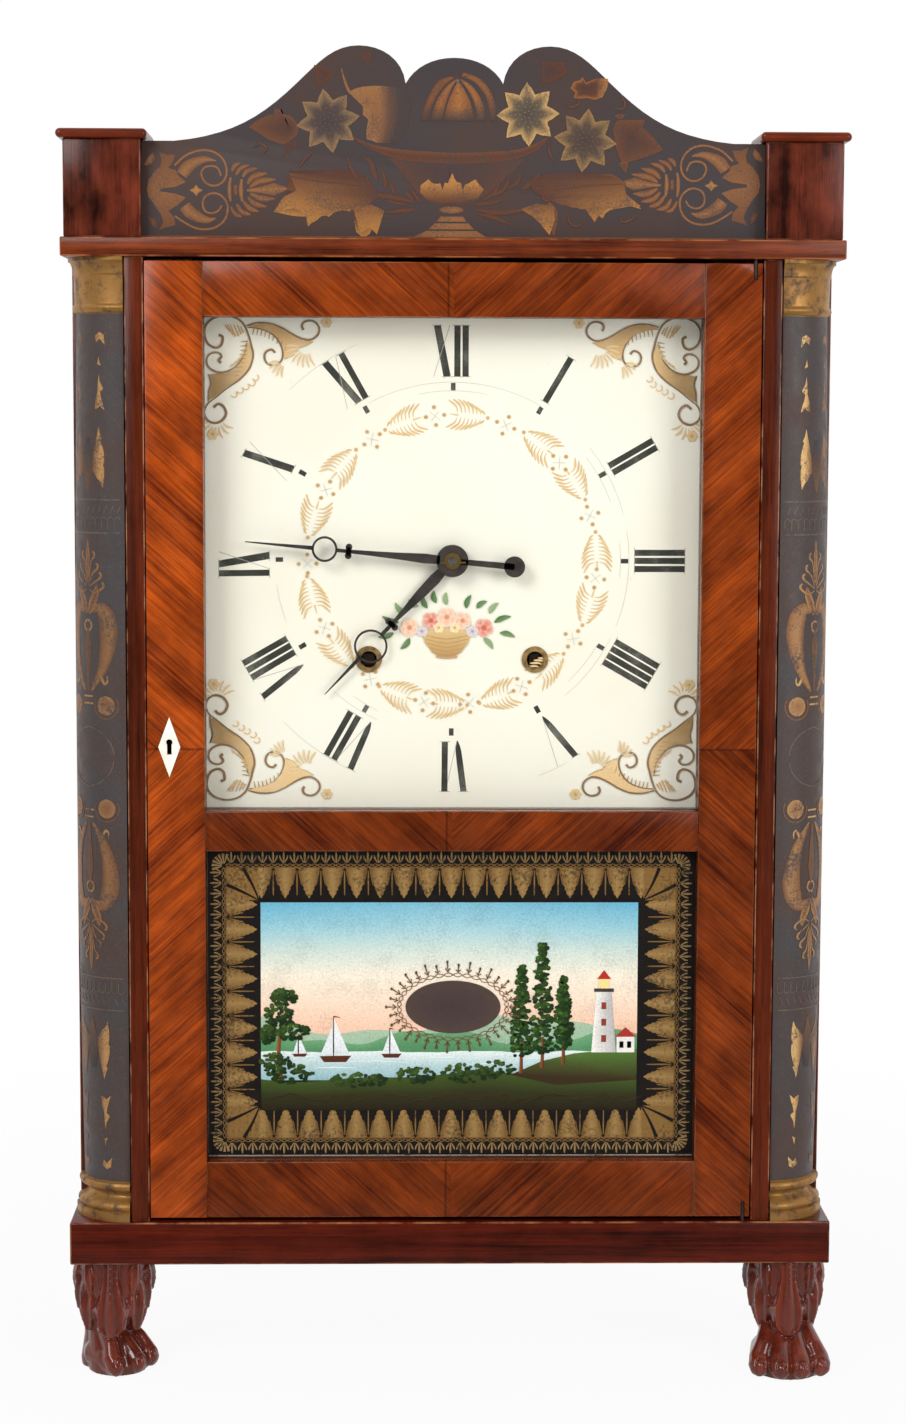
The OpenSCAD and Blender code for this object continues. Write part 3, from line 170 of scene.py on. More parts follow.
def soft_lamp(name, place, target, size, watts):
    lamp = linked(name, bpy.data.lights.new(name, "AREA"))
    lamp.data.shape = "RECTANGLE"
    lamp.data.size = size[0]
    lamp.data.size_y = size[1]
    lamp.data.energy = watts
    lamp.location = place
    lamp.rotation_euler = (Vector(target) - Vector(place)).to_track_quat("-Z", "Y").to_euler()


soft_lamp("key_lamp", (-1.5, -2, 1.9), (0, 0, 0.35), (1.2, 1.2), 36)
soft_lamp("fill_lamp", (1.7, -1.8, 1), (0, 0, 0.35), (1, 1.4), 23)
bpy.context.scene.view_settings.view_transform = "Standard"


# Rear feet, base slab, case sides, back board, battens and the stiles beside the door: sawn
# and planed boards, the show faces stained and varnished, the inner ones left as they were.
# The slab, sides, back board and stiles are each the imported board with its corners eased, as a few
# strokes of sandpaper leave them; the rear feet and battens keep their imported shapes.
def blend(tree, share, first, second, **settings):
    return put(tree, "Mix", {0: share, 6: first, 7: second}, data_type="RGBA", **settings)


def noise(tree, place, scale, detail=2, rough=0.5):
    return put(tree, "TexNoise", {"Vector": place, "Scale": scale, "Detail": detail, "Roughness": rough})


def raised(tree, height, distance, strength=0.5):
    return put(tree, "Bump", {"Height": height, "Distance": distance, "Strength": strength})


def principled(material, given):
    return surfaced(material, put(material.node_tree, "BsdfPrincipled", given))


def shader_group(name, takes, gives):
    """An empty node group, the sockets it reads and the sockets it fills"""
    group = bpy.data.node_groups.new(name, "ShaderNodeTree")
    for way, sockets in (("INPUT", takes), ("OUTPUT", gives)):
        for socket, kind in sockets.items():
            group.interface.new_socket(socket, in_out=way, socket_type="NodeSocket" + kind)
    return group, group.nodes.new("NodeGroupInput").outputs, group.nodes.new("NodeGroupOutput").inputs


def wood_figure():
    """Grain that runs along the given X: fine streaks, broad bands, cross figure and pores"""
    group, given, made = shader_group("wood_figure", {"Place": "Vector", "Pale": "Color", "Dark": "Color",
        "Streaks": "Float", "Bands": "Float", "Mottle": "Float", "Gloss": "Float"}, {"Color": "Color",
        "Roughness": "Float", "Height": "Float"})

    def cloud(stretch, detail, rough=0.55):
        spread = put(group, "VectorMath", {0: given["Place"], 1: stretch}, operation="MULTIPLY")
        return noise(group, spread, 1, detail, rough)

    def weighed(cloudy, amount):
        return calc(group, "MULTIPLY", calc(group, "SUBTRACT", cloudy, 0.5), amount)

    streaks = cloud((16, 760, 760), 4)
    bands = cloud((5, 95, 95), 2)
    mottle = cloud((34, 60, 60), 3, 0.6)
    pores = cloud((55, 2300, 2300), 1)
    total = calc(group, "ADD", weighed(streaks, given["Streaks"]), weighed(bands, given["Bands"]))
    total = calc(group, "ADD", total, weighed(mottle, given["Mottle"]))
    total = calc(group, "ADD", total, 0.5, use_clamp=True)
    wood = blend(group, total, given["Dark"], given["Pale"])
    open_pores = span(group, pores, 0.6, 0.68, 0, 0.55)
    feed(made["Color"], blend(group, open_pores, wood, given["Dark"]))
    dull = calc(group, "ADD", weighed(mottle, 0.25), weighed(pores, 0.2))
    feed(made["Roughness"], calc(group, "ADD", dull, given["Gloss"]))
    feed(made["Height"], calc(group, "SUBTRACT", streaks, pores))
    return group


def rubbed_edges():
    """Paler wood where an eased edge is marked as worn, in broken patches and small chips"""
    group, given, made = shader_group("rubbed_edges", {"Color": "Color", "Worn": "Color",
        "Amount": "Float"}, {"Color": "Color"})
    place = put(group, "TexCoord")
    shown = span(group, noise(group, place, 70, 4), 0.42, 0.6)
    shown = calc(group, "MULTIPLY", shown, put(group, "Attribute", attribute_name="wear"))
    shown = calc(group, "MULTIPLY", shown, given["Amount"], use_clamp=True)
    chips = put(group, "TexVoronoi", {"Vector": place, "Scale": 55}, feature="F1")
    picked = span(group, noise(group, place, 9), 0.56, 0.6)
    chip = calc(group, "MULTIPLY", span(group, chips, 0.022, 0.012, 0, 0.8), picked)
    either = calc(group, "MAXIMUM", chip, shown)
    feed(made["Color"], blend(group, either, given["Color"], given["Worn"]))
    return group


FIGURE = wood_figure()
RUBBED = rubbed_edges()
GRAIN_UP = (0, pi / 2, 0)
GRAIN_ACROSS = (0, 0, 0)
GRAIN_BACK = (0, 0, pi / 2)
GRAIN_RELIEF = 0.00006


def along_grain(tree, turn):
    """Coordinates turned so that their X runs along the grain"""
    return put(tree, "Mapping", {"Vector": put(tree, "TexCoord"), "Rotation": turn})


def wood(name, pale, dark, worn, turn=GRAIN_ACROSS, streaks=1.1, bands=1.3, mottle=0.8, gloss=0.3,
        coat=0.12, wear=0.9, place=None, tone=None):
    """Wood with its grain turned to run along the piece. place gives other coordinates and
    tone a colour multiplied over it, painted light and shade on the door veneer and the dark winding
    squares on the drums; both add their nodes to the tree."""
    material, tree = new_material(name)
    along = place(tree) if place else along_grain(tree, turn)
    figure = put(tree, "Group", {"Place": along, "Pale": tint(*pale), "Dark": tint(*dark),
        "Streaks": streaks, "Bands": bands, "Mottle": mottle, "Gloss": gloss}, node_tree=FIGURE)
    color = put(tree, "Group", {"Color": figure, "Worn": tint(*worn), "Amount": wear}, node_tree=RUBBED)
    if tone:
        color = blend(tree, 1, color, tone(tree), blend_type="MULTIPLY")
    return principled(material, {"Base Color": color, "Roughness": figure.outputs["Roughness"],
        "Normal": raised(tree, figure.outputs["Height"], GRAIN_RELIEF), "Specular IOR Level": 0.22,
        "Coat Weight": coat, "Coat Roughness": 0.15})


def dress(node, material):
    """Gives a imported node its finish"""
    mesh = nodes[node].data
    mesh.materials.clear()
    mesh.materials.append(material)


def add_piece(name, mesh, material, body, slot, *stands_for):
    """Adds a finished mesh that rides on a body, in place of the nodes that it stands for"""
    mesh.name = name
    mesh.materials.clear()
    mesh.materials.append(material)
    piece = linked(name, mesh)
    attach(piece, body)
    if stands_for:
        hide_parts(*stands_for)
    return piece


def shade(mesh, angle=0.6):
    """Smooth faces with the edges sharper than the angle kept crisp"""
    for face in mesh.polygons:
        face.use_smooth = True
    mesh.set_sharp_from_angle(angle=angle)
    return mesh


def into_mesh(edit, name, outward=True, angle=0.6):
    if outward:
        bmesh.ops.recalc_face_normals(edit, faces=edit.faces)
    mesh = bpy.data.meshes.new(name)
    edit.to_mesh(mesh)
    edit.free()
    return shade(mesh, angle)


def worked(node, name, material, body, slot, ease=0.0006, least=0.008):
    """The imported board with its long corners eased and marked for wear"""
    edit = bmesh.new()
    edit.from_mesh(nodes[node].data)
    bmesh.ops.remove_doubles(edit, verts=edit.verts, dist=1e-6)
    bmesh.ops.dissolve_limit(edit, angle_limit=0.01, verts=edit.verts, edges=edit.edges)
    wear = edit.faces.layers.float.new("wear")
    corners = [edge for edge in edit.edges if edge.is_manifold and edge.calc_length() > least
        and edge.calc_face_angle() > 0.6]
    eased = bmesh.ops.bevel(edit, geom=corners, offset=ease, segments=2, profile=0.5, affect="EDGES",
        clamp_overlap=True)
    for face in eased["faces"]:
        face[wear] = 1
    return add_piece(name, into_mesh(edit, name, False), material, body, slot, node)


WORN_WOOD = (153, 97, 57)
dark_mahogany = wood("dark_mahogany", (104, 26, 2), (36, 5, 0), WORN_WOOD)
stile_mahogany = wood("stile_mahogany", (112, 40, 8), (38, 8, 1), (171, 113, 78), GRAIN_UP, mottle=0.5)
side_wood = wood("side_mahogany", (106, 45, 21), (54, 17, 10), WORN_WOOD, GRAIN_UP)
plain_pine = wood("plain_pine", (171, 137, 92), (122, 85, 49), (178, 152, 113), GRAIN_UP, gloss=0.6,
    coat=0, wear=0.4)
stained_foot = wood("stained_foot", (104, 49, 24), (56, 19, 12), WORN_WOOD, GRAIN_UP)

dress("rear_feet", stained_foot)
worked("base_slab", "base_board", dark_mahogany, "case", "stained_mahogany", 0.0009)
for side in ("left", "right"):
    worked("case_side_" + side, "side_board_" + side, side_wood, "case", "stained_mahogany")
    worked("front_stile_" + side, "front_post_" + side, stile_mahogany, "case", "stained_mahogany", 0.0007)
worked("back_board", "back_boarding", plain_pine, "case", "pine")
dress("case_battens", plain_pine)


# Paw feet: carved from mahogany, an acanthus leaf folded over the knee in three tiers, a
# fluted middle leaf drooping in front, a narrow ankle and clawed toes: four on the right paw,
# three on the left one, which is turned towards the middle. Dark and glossy over the carving.
FOOT_X = 0.1935
FOOT_Y = -0.027
FOOT_HIGH = 0.0645


def ring_stack(edit, rows, count=28):
    """A turned or oval form from level rings, each given as x, y, across, deep and height"""
    rings = []
    for x, y, across, deep, height in rows:
        turns = [2 * pi * i / count for i in range(count)]
        rings.append([edit.verts.new((x + across * sin(a), y - deep * cos(a), height)) for a in turns])
    join_rings(edit, rings)


def join_rings(edit, rings):
    """Walls between rings, closed at both ends"""
    for low, high in zip(rings, rings[1:]):
        for i in range(len(low)):
            j = (i + 1) % len(low)
            edit.faces.new((low[i], low[j], high[j], high[i]))
    edit.faces.new(rings[0][::-1])
    edit.faces.new(rings[-1])


def blob_chain(edit, points, sides=14):
    """A limb through (x, y, z, radius, flatten) stations, rounded at both ends"""
    places = [Vector(p[:3]) for p in points]
    stations = []
    for i, place in enumerate(places):
        before = places[max(0, i - 1)]
        after = places[min(len(places) - 1, i + 1)]
        stations.append((place, (after - before).normalized(), points[i][3], points[i][4]))

    def cap(station, way, shares):
        place, aim, radius, flat = station
        return [(place + way * (aim * radius * cos(asin(k))), aim, radius * k, flat) for k in shares]

    rings = []
    for place, aim, radius, flat in cap(stations[0], -1, (0.35, 0.75)) + stations + cap(stations[-1], 1,
            (0.75, 0.35)):
        side = aim.cross(Vector((0, 0, 1)))
        side = Vector((1, 0, 0)) if side.length < 0.2 else side.normalized()
        lift = side.cross(aim).normalized()
        rings.append([edit.verts.new(place + side * radius * flat * cos(2 * pi * i / sides) + lift
            * radius * sin(2 * pi * i / sides)) for i in range(sides)])
    join_rings(edit, rings)


def leaf_blade(edit, spine, half_widths, thick, bow=0.4, veins=3, nick=0.18):
    """A carved leaf: a bowed blade along its spine, outer side fluted, edge nicked in lobes.
    Each spine station gives its place and the outward direction there"""
    across = 12
    count = len(spine)
    outer = []
    inner = []
    for i, (place, out) in enumerate(spine):
        before = Vector(spine[max(0, i - 1)][0])
        after = Vector(spine[min(count - 1, i + 1)][0])
        along = (after - before).normalized()
        out = Vector(out).normalized()
        side = along.cross(out).normalized()
        out = side.cross(along).normalized()
        edge = 1 - nick * abs(sin(pi * veins * i / (count - 1)))
        half = half_widths[i]
        row_out = []
        row_in = []
        for j in range(across + 1):
            v = 2 * j / across - 1
            drop = bow * half * v * v
            ridge = 0.0011 * cos(3 * pi * v) * min(1, half / 0.008)
            reach = v * half * (edge if abs(v) > 0.7 else 1)
            spot = Vector(place) + side * reach - out * drop
            row_out.append(edit.verts.new(spot + out * (thick * (1 - 0.6 * v * v) + ridge)))
            row_in.append(edit.verts.new(spot - out * thick * 0.9))
        outer.append(row_out)
        inner.append(row_in)
    for i in range(count - 1):
        for j in range(across):
            edit.faces.new((outer[i][j], outer[i][j + 1], outer[i + 1][j + 1], outer[i + 1][j]))
            edit.faces.new((inner[i][j], inner[i + 1][j], inner[i + 1][j + 1], inner[i][j + 1]))
        edit.faces.new((outer[i][0], outer[i + 1][0], inner[i + 1][0], inner[i][0]))
        edit.faces.new((outer[i][across], inner[i][across], inner[i + 1][across], outer[i + 1][across]))
    edit.faces.new([outer[0][j] for j in range(across, -1, -1)] + inner[0])
    edit.faces.new(outer[-1] + inner[-1][::-1])


def on_knee(angle, height, out):
    """A point round the knee: angle from straight ahead, height, distance from the axis"""
    return ((out * sin(angle), -out * cos(angle), height), (sin(angle), -cos(angle), 0.15))


def clamp(share):
    return min(1, max(0, share))


def drooping_leaf(edit, angle, drift, high, low, out, belly, tip_out, half, thick, full=False):
    """A leaf that leaves the knee's top, bellies out and ends in a rounded tip"""
    spine = []
    widths = []
    steps = 14
    tip_from, tip_long = (0.8, 0.205) if full else (0.6, 0.42)
    for i in range(steps + 1):
        t = i / steps
        reach = out + belly * sin(pi * min(1, t * 1.1)) + tip_out * t * t
        spine.append(on_knee(angle + drift * t, high + (low - high) * t, reach))
        wide = 0.62 + 0.5 * sin(pi * min(0.85, t + 0.1))
        if full:
            spread = clamp((t - 0.25) / 0.45)
            wide = 0.56 + 0.44 * spread * spread * (3 - 2 * spread)
        widths.append(half * wide * sqrt(max(0, 1 - max(0, (t - tip_from) / tip_long) ** 2)))
    leaf_blade(edit, spine, widths, thick)


TOES = {-1: (-1.3, 0, 1.3), 1: (-1.5, -0.5, 0.5, 1.5)}
SKIN_VOXEL = 0.0006
CLAW_WIDE = 0.0026
CLAW_TALL = 0.0038
CLAW_REACH = 0.008
CLAW_GROOVE = 0.0007
CLAW_SWELL = 0.0006
LEFT_TURN = radians(46)
LEFT_SHIFT = (-0.0064, 0.001, 0)
LEFT_SCALE = (0.86, 0.84, 1, 1)
PAW_TURN = {-1: Matrix.Translation(LEFT_SHIFT) @ Matrix.Rotation(LEFT_TURN, 4, "Z")
    @ Matrix.Diagonal(LEFT_SCALE), 1: Matrix.Identity(4)}
PAIRED_LEAVES = ((1.72, -0.1, FOOT_HIGH, 0.0425, 0.0165, 0.003, 0.004, 0.011, 0.0026), (1.28, 0.04, 0.058,
    0.0335, 0.0155, 0.003, 0.0034, 0.01, 0.0026), (1.02, -0.1, 0.05, 0.0225, 0.015, 0.0028, 0.0018,
    0.0098, 0.0026), (2.45, 0, FOOT_HIGH, 0.03, 0.0165, 0.0022, -0.001, 0.0105, 0.0022), (0.78, -0.06,
    FOOT_HIGH, 0.044, 0.0185, 0.0012, -0.0006, 0.005, 0.002))


def carve_foot(side):
    """The whole foot about its own axis at the floor, before it is moved under the slab"""
    edit = bmesh.new()
    ring_stack(edit, ((0, 0, 0.0126, 0.0126, 0.018), (0, -0.001, 0.0135, 0.0128, 0.026), (0, -0.001,
        0.0165, 0.0158, 0.034), (0, -0.0005, 0.0182, 0.0178, 0.044), (0, 0, 0.0192, 0.019, 0.054),
        (0, 0, 0.0195, 0.0195, FOOT_HIGH)))
    for spread in (-1, 1):
        for angle, drift, *form in PAIRED_LEAVES:
            drooping_leaf(edit, spread * angle, spread * drift, *form)
    drooping_leaf(edit, 0, 0, FOOT_HIGH, 0.0215, 0.0172, 0.0022, 0.0046, 0.0112, 0.0042, True)
    drooping_leaf(edit, pi, 0, FOOT_HIGH, 0.0245, 0.0165, 0.002, 0, 0.0105, 0.0022)
    paw = bmesh.new()
    ring_stack(paw, ((0, -0.015, 0.0192, 0.0205, 0), (0, -0.015, 0.0196, 0.0208, 0.005), (0, -0.0135,
        0.0182, 0.019, 0.011), (0, -0.009, 0.0156, 0.016, 0.019), (0, -0.004, 0.0132, 0.0132, 0.028)))
    ring_stack(paw, ((0, 0.0005, 0.0148, 0.0135, 0), (0, 0.0005, 0.0152, 0.0142, 0.004), (0, 0, 0.0142,
        0.0138, 0.01), (0, 0, 0.0128, 0.0128, 0.017), (0, 0, 0.0122, 0.0124, 0.026)))
    for i in TOES[side]:
        tip = 0.0025 * (i * i - 0.25)
        blob_chain(paw, [(i * 0.0066, -0.0075, 0.0265, 0.0048, 0.95), (i * 0.0078, -0.0145, 0.0215, 0.005,
            0.95), (i * 0.0094, -0.0225, 0.016, 0.0055, 1), (i * 0.011, tip - 0.03, 0.01, 0.0063, 1.02),
            (i * 0.0115, tip - 0.0343, 0.0066, 0.0062, 1.03)])
        blob_chain(paw, [(i * 0.0072, -0.003, 0.0085, 0.0085, 1), (i * 0.0095, -0.018, 0.0075, 0.0075, 1),
            (i * 0.0112, tip - 0.033, 0.0052, 0.0052, 1.1)])
    paw.transform(PAW_TURN[side])
    join = bpy.data.meshes.new("paw_draft")
    paw.to_mesh(join)
    paw.free()
    edit.from_mesh(join)
    bpy.data.meshes.remove(join)
    return into_mesh(edit, "foot_draft")


def applied(mesh, modifiers):
    """The mesh with modifiers, given as kind and settings, worked into it"""
    draft = linked("draft", mesh)
    for kind, settings in modifiers.items():
        modifier = draft.modifiers.new(kind, kind)
        for name, value in settings.items():
            setattr(modifier, name, value)
    ready = draft.evaluated_get(bpy.context.evaluated_depsgraph_get())
    done = bpy.data.meshes.new_from_object(ready)
    bpy.data.objects.remove(draft)
    bpy.data.meshes.remove(mesh)
    return done


def finish_foot(side):
    """One closed skin over all the forms, softened as sanding would, with its claws cut in"""
    mesh = applied(carve_foot(side), {"REMESH": {"mode": "VOXEL", "voxel_size": SKIN_VOXEL},
        "SMOOTH": {"factor": 0.5, "iterations": 3}})
    turn = PAW_TURN[side]
    claws = []
    for i in TOES[side]:
        tip = 0.0025 * (i * i - 0.25)
        claws.append((turn @ Vector((i * 0.0115, tip - 0.0398, 0.0086)),
            (turn.to_3x3() @ Vector((0, -0.75, 0.66))).normalized()))
    level_aim = (turn.to_3x3() @ Vector((1, 0, 0))).normalized()
    for vertex in mesh.vertices:
        place = vertex.co
        place.z = max(place.z, 0)
        for centre, aim in claws:
            offset = place - centre
            if offset.length > CLAW_REACH:
                continue
            across = offset - aim * offset.dot(aim)
            sideways = across.dot(level_aim)
            uphill = sqrt(max(0, across.length_squared - sideways ** 2))
            reach = hypot(sideways / CLAW_WIDE, uphill / CLAW_TALL)
            groove = exp(-((reach - 1) / 0.16) ** 2)
            nail = exp(-(reach / 0.55) ** 2)
            vertex.co = place - aim * (CLAW_GROOVE * groove) + aim * (CLAW_SWELL * nail)
            place = vertex.co
        vertex.co.z = min(vertex.co.z, FOOT_HIGH)
        if vertex.co.z < 0.0003:
            vertex.co.z = 0
    mesh.transform(Matrix.Translation((side * FOOT_X, FOOT_Y, 0)))
    return shade(mesh, 1.2)


def carved_gloss():
    """Dark stain settled in the hollows, redder wood on the high carving, polished"""
    material, tree = new_material("carved_mahogany")
    figure = put(tree, "Group", {"Place": along_grain(tree, GRAIN_UP), "Pale": tint(137, 54, 30),
        "Dark": tint(63, 19, 14), "Streaks": 0.7, "Bands": 0.9, "Mottle": 1.1, "Gloss": 0.2},
        node_tree=FIGURE)
    hollow = span(tree, put(tree, "NewGeometry").outputs["Pointiness"], 0.4, 0.52)
    return principled(material, {"Base Color": blend(tree, hollow, tint(30, 10, 9), figure),
        "Roughness": figure.outputs["Roughness"], "Specular IOR Level": 0.35, "Coat Weight": 0.6,
        "Coat Roughness": 0.07})


CARVED = carved_gloss()
for side, name in ((-1, "left"), (1, "right")):
    add_piece("carved_foot_" + name, finish_foot(side), CARVED, "case", "carved_mahogany",
        "paw_foot_" + name)


# Quarter columns: turned in quarters and set in the case's front corners. The shaft is
# painted dark and stencilled in bronze powders, a leaf at each end and a symmetric group
# between; the turned base and capital are gilded and rubbed.
COLUMN_AXIS = (0.182, -0.017)
COLUMN_LOW = 0.089
COLUMN_HIGH = 0.631
SHAFT_LOW = 0.111
SHAFT_HIGH = 0.6005
ABACUS = 0.033
column_steps = 36


def shaft_radius(height):
    t = (height - SHAFT_LOW) / (SHAFT_HIGH - SHAFT_LOW)
    return 0.0284 + 0.0002 * t + 4 * t * (1 - t) * 0.0021


def swell(low, high, radius, rise, steps=10):
    return [(radius + rise * sin(pi * i / steps), low + (high - low) * i / steps) for i in range(steps + 1)]


column_profile = [(ABACUS, COLUMN_LOW), (ABACUS, COLUMN_LOW + 0.0046)]
column_profile += swell(COLUMN_LOW + 0.0054, COLUMN_LOW + 0.01, ABACUS - 0.0019, 0.0012)
column_profile += swell(COLUMN_LOW + 0.011, COLUMN_LOW + 0.017, ABACUS - 0.0042, -0.0026)
column_profile += swell(COLUMN_LOW + 0.0176, SHAFT_LOW - 0.0006, ABACUS - 0.0024, 0.0009)
shaft_heights = [SHAFT_LOW + (SHAFT_HIGH - SHAFT_LOW) * i / column_steps for i in range(column_steps + 1)]
shaft_heights[1:1] = [SHAFT_LOW + 0.0006]
shaft_heights[-1:-1] = [SHAFT_HIGH - 0.0006]
column_profile += [(shaft_radius(height), height) for height in shaft_heights]
column_profile += swell(SHAFT_HIGH + 0.0004, SHAFT_HIGH + 0.005, 0.0296, 0.0013)
column_profile += [(0.0295, SHAFT_HIGH + 0.0056), (0.0299, COLUMN_HIGH - 0.01)]
column_profile += [(0.0305 + (ABACUS - 0.0305) * (1 - cos(radians(9 * i))), COLUMN_HIGH - 0.009 + 0.007
    * sin(radians(9 * i))) for i in range(11)]
column_profile += [(ABACUS, COLUMN_HIGH)]


def quarter_column(side):
    """The turned quarter, closed by the two sawn faces behind it and by its flat ends"""
    edit = bmesh.new()
    gilt = edit.verts.layers.float.new("gilt")
    steps = 32
    rows = []
    axis = []
    for radius, height in column_profile:
        row = []
        for i in range(steps + 1):
            angle = side * pi / 4 + pi / 2 * (i / steps - 0.5)
            vertex = edit.verts.new((side * COLUMN_AXIS[0] + radius * sin(angle), COLUMN_AXIS[1] - radius
                * cos(angle), height))
            vertex[gilt] = 0 if SHAFT_LOW < height < SHAFT_HIGH else 1
            row.append(vertex)
        rows.append(row)
        axis.append(edit.verts.new((side * COLUMN_AXIS[0], COLUMN_AXIS[1], height)))
    for k in range(len(rows) - 1):
        low, high = rows[k], rows[k + 1]
        for i in range(steps):
            edit.faces.new((low[i], low[i + 1], high[i + 1], high[i]))
        edit.faces.new((axis[k], low[0], high[0], axis[k + 1]))
        edit.faces.new((low[steps], axis[k], axis[k + 1], high[steps]))
    edit.faces.new(rows[0][::-1] + [axis[0]])
    edit.faces.new(rows[-1] + [axis[-1]])
    return into_mesh(edit, "column", angle=0.5)


def around(centre, across, high, turn):
    """A point on an oval about a centre"""
    return (centre[0] + across * cos(turn), centre[1] + high * sin(turn))


class Inlay:
    """Thin painted shapes on a surface. lay(u, v, lift) gives a place on it, all in mm;
    colours are as seen, 0 to 255, and shine marks bronze powder or gold leaf. On a round
    surface grain is the widest face that still lies close to it"""

    def __init__(self, lay, lift=0.03, rise=0.002, grain=1000, shine=1):
        self.lay, self.lift, self.rise, self.grain, self.shine = lay, lift, rise, grain, shine
        self.places, self.faces, self.paints, self.shines = [], [], [], []

    def point(self, u, v, paint, shine):
        self.places.append(self.lay(u, v, self.lift))
        self.paints.append(tint(*paint))
        self.shines.append(self.shine if shine is None else shine)
        return len(self.places) - 1

    def band(self, left, right, paints, shine=None):
        """A strip between two lines with as many points, its colours spread across it"""
        rows = []
        widest = max(dist(a, b) for a, b in zip(left, right))
        for i, (a, b) in enumerate(zip(left, right)):
            tones = paints(i / (len(left) - 1)) if callable(paints) else paints
            last = len(tones) - 1
            steps = last * max(1, ceil(widest / last / self.grain))
            row = []
            for j in range(steps + 1):
                k = min(int(j * last / steps), last - 1)
                row.append(self.point(a[0] + (b[0] - a[0]) * j / steps, a[1] + (b[1] - a[1]) * j / steps,
                    mixed(tones[k], tones[k + 1], j * last / steps - k), shine))
            rows.append(row)
        turn = sum((right[i][0] - left[i][0]) * (left[i + 1][1] - left[i][1]) - (right[i][1] - left[i][1])
            * (left[i + 1][0] - left[i][0]) for i in range(len(left) - 1))
        for low, high in zip(rows, rows[1:]):
            for j in range(len(low) - 1):
                face = (low[j], low[j + 1], high[j + 1], high[j])
                self.faces.append(face if turn > 0 else face[::-1])
        self.lift += self.rise

    def stroke(self, path, widths, paints, shine=None, fine=5):
        """A ribbon of changing width along a smooth path"""
        line = flowing(path, fine)
        left = []
        right = []
        for i, here in enumerate(line):
            t = i / (len(line) - 1)
            before = line[max(0, i - 1)]
            after = line[min(len(line) - 1, i + 1)]
            along = (after - before).normalized()
            spot = t * (len(widths) - 1)
            k = min(int(spot), len(widths) - 2) if len(widths) > 1 else 0
            half = widths[0] if len(widths) == 1 else widths[k] + (widths[k + 1] - widths[k]) * (spot - k)
            half = max(half, 0.12) / 2
            left.append(here + Vector((-along.y, along.x)) * half)
            right.append(here - Vector((-along.y, along.x)) * half)
        self.band(left, right, paints, shine)

    def patch(self, outline, centre, inner, outer, shine=None, ring=0.6, middle=None):
        """A filled outline: colour at the centre, at a ring between and at the edge"""
        middle = middle or tuple((a + b) / 2 for a, b in zip(inner, outer))
        hub = self.point(centre[0], centre[1], inner, shine)
        rings = []
        for share, paint in ((ring, middle), (1, outer)):
            rings.append([self.point(centre[0] + (u - centre[0]) * share, centre[1] + (v - centre[1])
                * share, paint, shine) for u, v in outline])
        count = len(outline)
        area = sum(outline[i][0] * outline[(i + 1) % count][1] - outline[(i + 1) % count][0]
            * outline[i][1] for i in range(count))
        for i in range(count):
            j = (i + 1) % count
            pieces = [(hub, rings[0][i], rings[0][j]), (rings[0][i], rings[1][i], rings[1][j], rings[0][j])]
            self.faces += [piece if area > 0 else piece[::-1] for piece in pieces]
        self.lift += self.rise

    def shape(self, outline, tone, shine=None):
        """A filled outline of any form; tone gives the colour at a point"""
        first = len(self.places)
        flat = bmesh.new()
        corners = [flat.verts.new((u, v, 0)) for u, v in outline]
        for trio in tessellate_polygon([[corner.co for corner in corners]]):
            flat.faces.new([corners[i] for i in trio])
        wide = [edge for edge in flat.edges if edge.calc_length() > self.grain]
        while wide:
            bmesh.ops.subdivide_edges(flat, edges=wide, cuts=1)
            bmesh.ops.triangulate(flat, faces=flat.faces[:])
            wide = [edge for edge in flat.edges if edge.calc_length() > self.grain]
        flat.verts.index_update()
        for vertex in flat.verts:
            self.point(vertex.co.x, vertex.co.y, tone(vertex.co.x, vertex.co.y), shine)
        for trio in flat.faces:
            face = tuple(first + vertex.index for vertex in trio.verts)
            if trio.calc_area() > 1e-9:
                self.faces.append(face if trio.normal.z > 0 else face[::-1])
        flat.free()
        self.lift += self.rise

    def disc(self, centre, across, high, inner, outer, shine=None, count=20):
        self.patch([around(centre, across, high, 2 * pi * i / count) for i in range(count)], centre,
            inner, outer, shine)

    def ring(self, centre, radius, width, paint, shine=None, start=0, end=360):
        steps = max(4, int(abs(end - start) / 12))
        turns = [radians(start + (end - start) * i / steps) for i in range(steps + 1)]
        self.stroke([around(centre, radius, radius, turn) for turn in turns], (width, width),
            (paint, paint), shine, fine=2)

    def lay_down(self, name, material, body, slot, thick=0.00002):
        """All the shapes as closed films in one piece"""
        mesh = bpy.data.meshes.new(name)
        mesh.from_pydata(self.places, [], self.faces)
        paint = mesh.attributes.new("paint", "FLOAT_COLOR", "POINT")
        paint.data.foreach_set("color", [part for colour in self.paints for part in colour])
        mesh.attributes.new("shine", "FLOAT", "POINT").data.foreach_set("value", self.shines)
        mesh = applied(mesh, {"SOLIDIFY": {"thickness": thick, "offset": -1}})
        return add_piece(name, mesh, material, body, slot)


def flowing(path, fine):
    """A smooth line through the points"""
    spots = [Vector(point) for point in path]
    if fine < 2 or len(spots) < 3:
        return [a.lerp(b, i / max(fine, 1)) for a, b in zip(spots, spots[1:])
            for i in range(max(fine, 1))] + [spots[-1]]
    line = []
    for k in range(len(spots) - 1):
        a = spots[max(k - 1, 0)]
        b = spots[k]
        c = spots[k + 1]
        d = spots[min(k + 2, len(spots) - 1)]
        for i in range(fine):
            t = i / fine
            line.append(0.5 * (2 * b + (c - a) * t + (2 * a - 5 * b + 4 * c - d) * t * t
                + (3 * b - 3 * c + d - a) * t ** 3))
    return line + [spots[-1]]


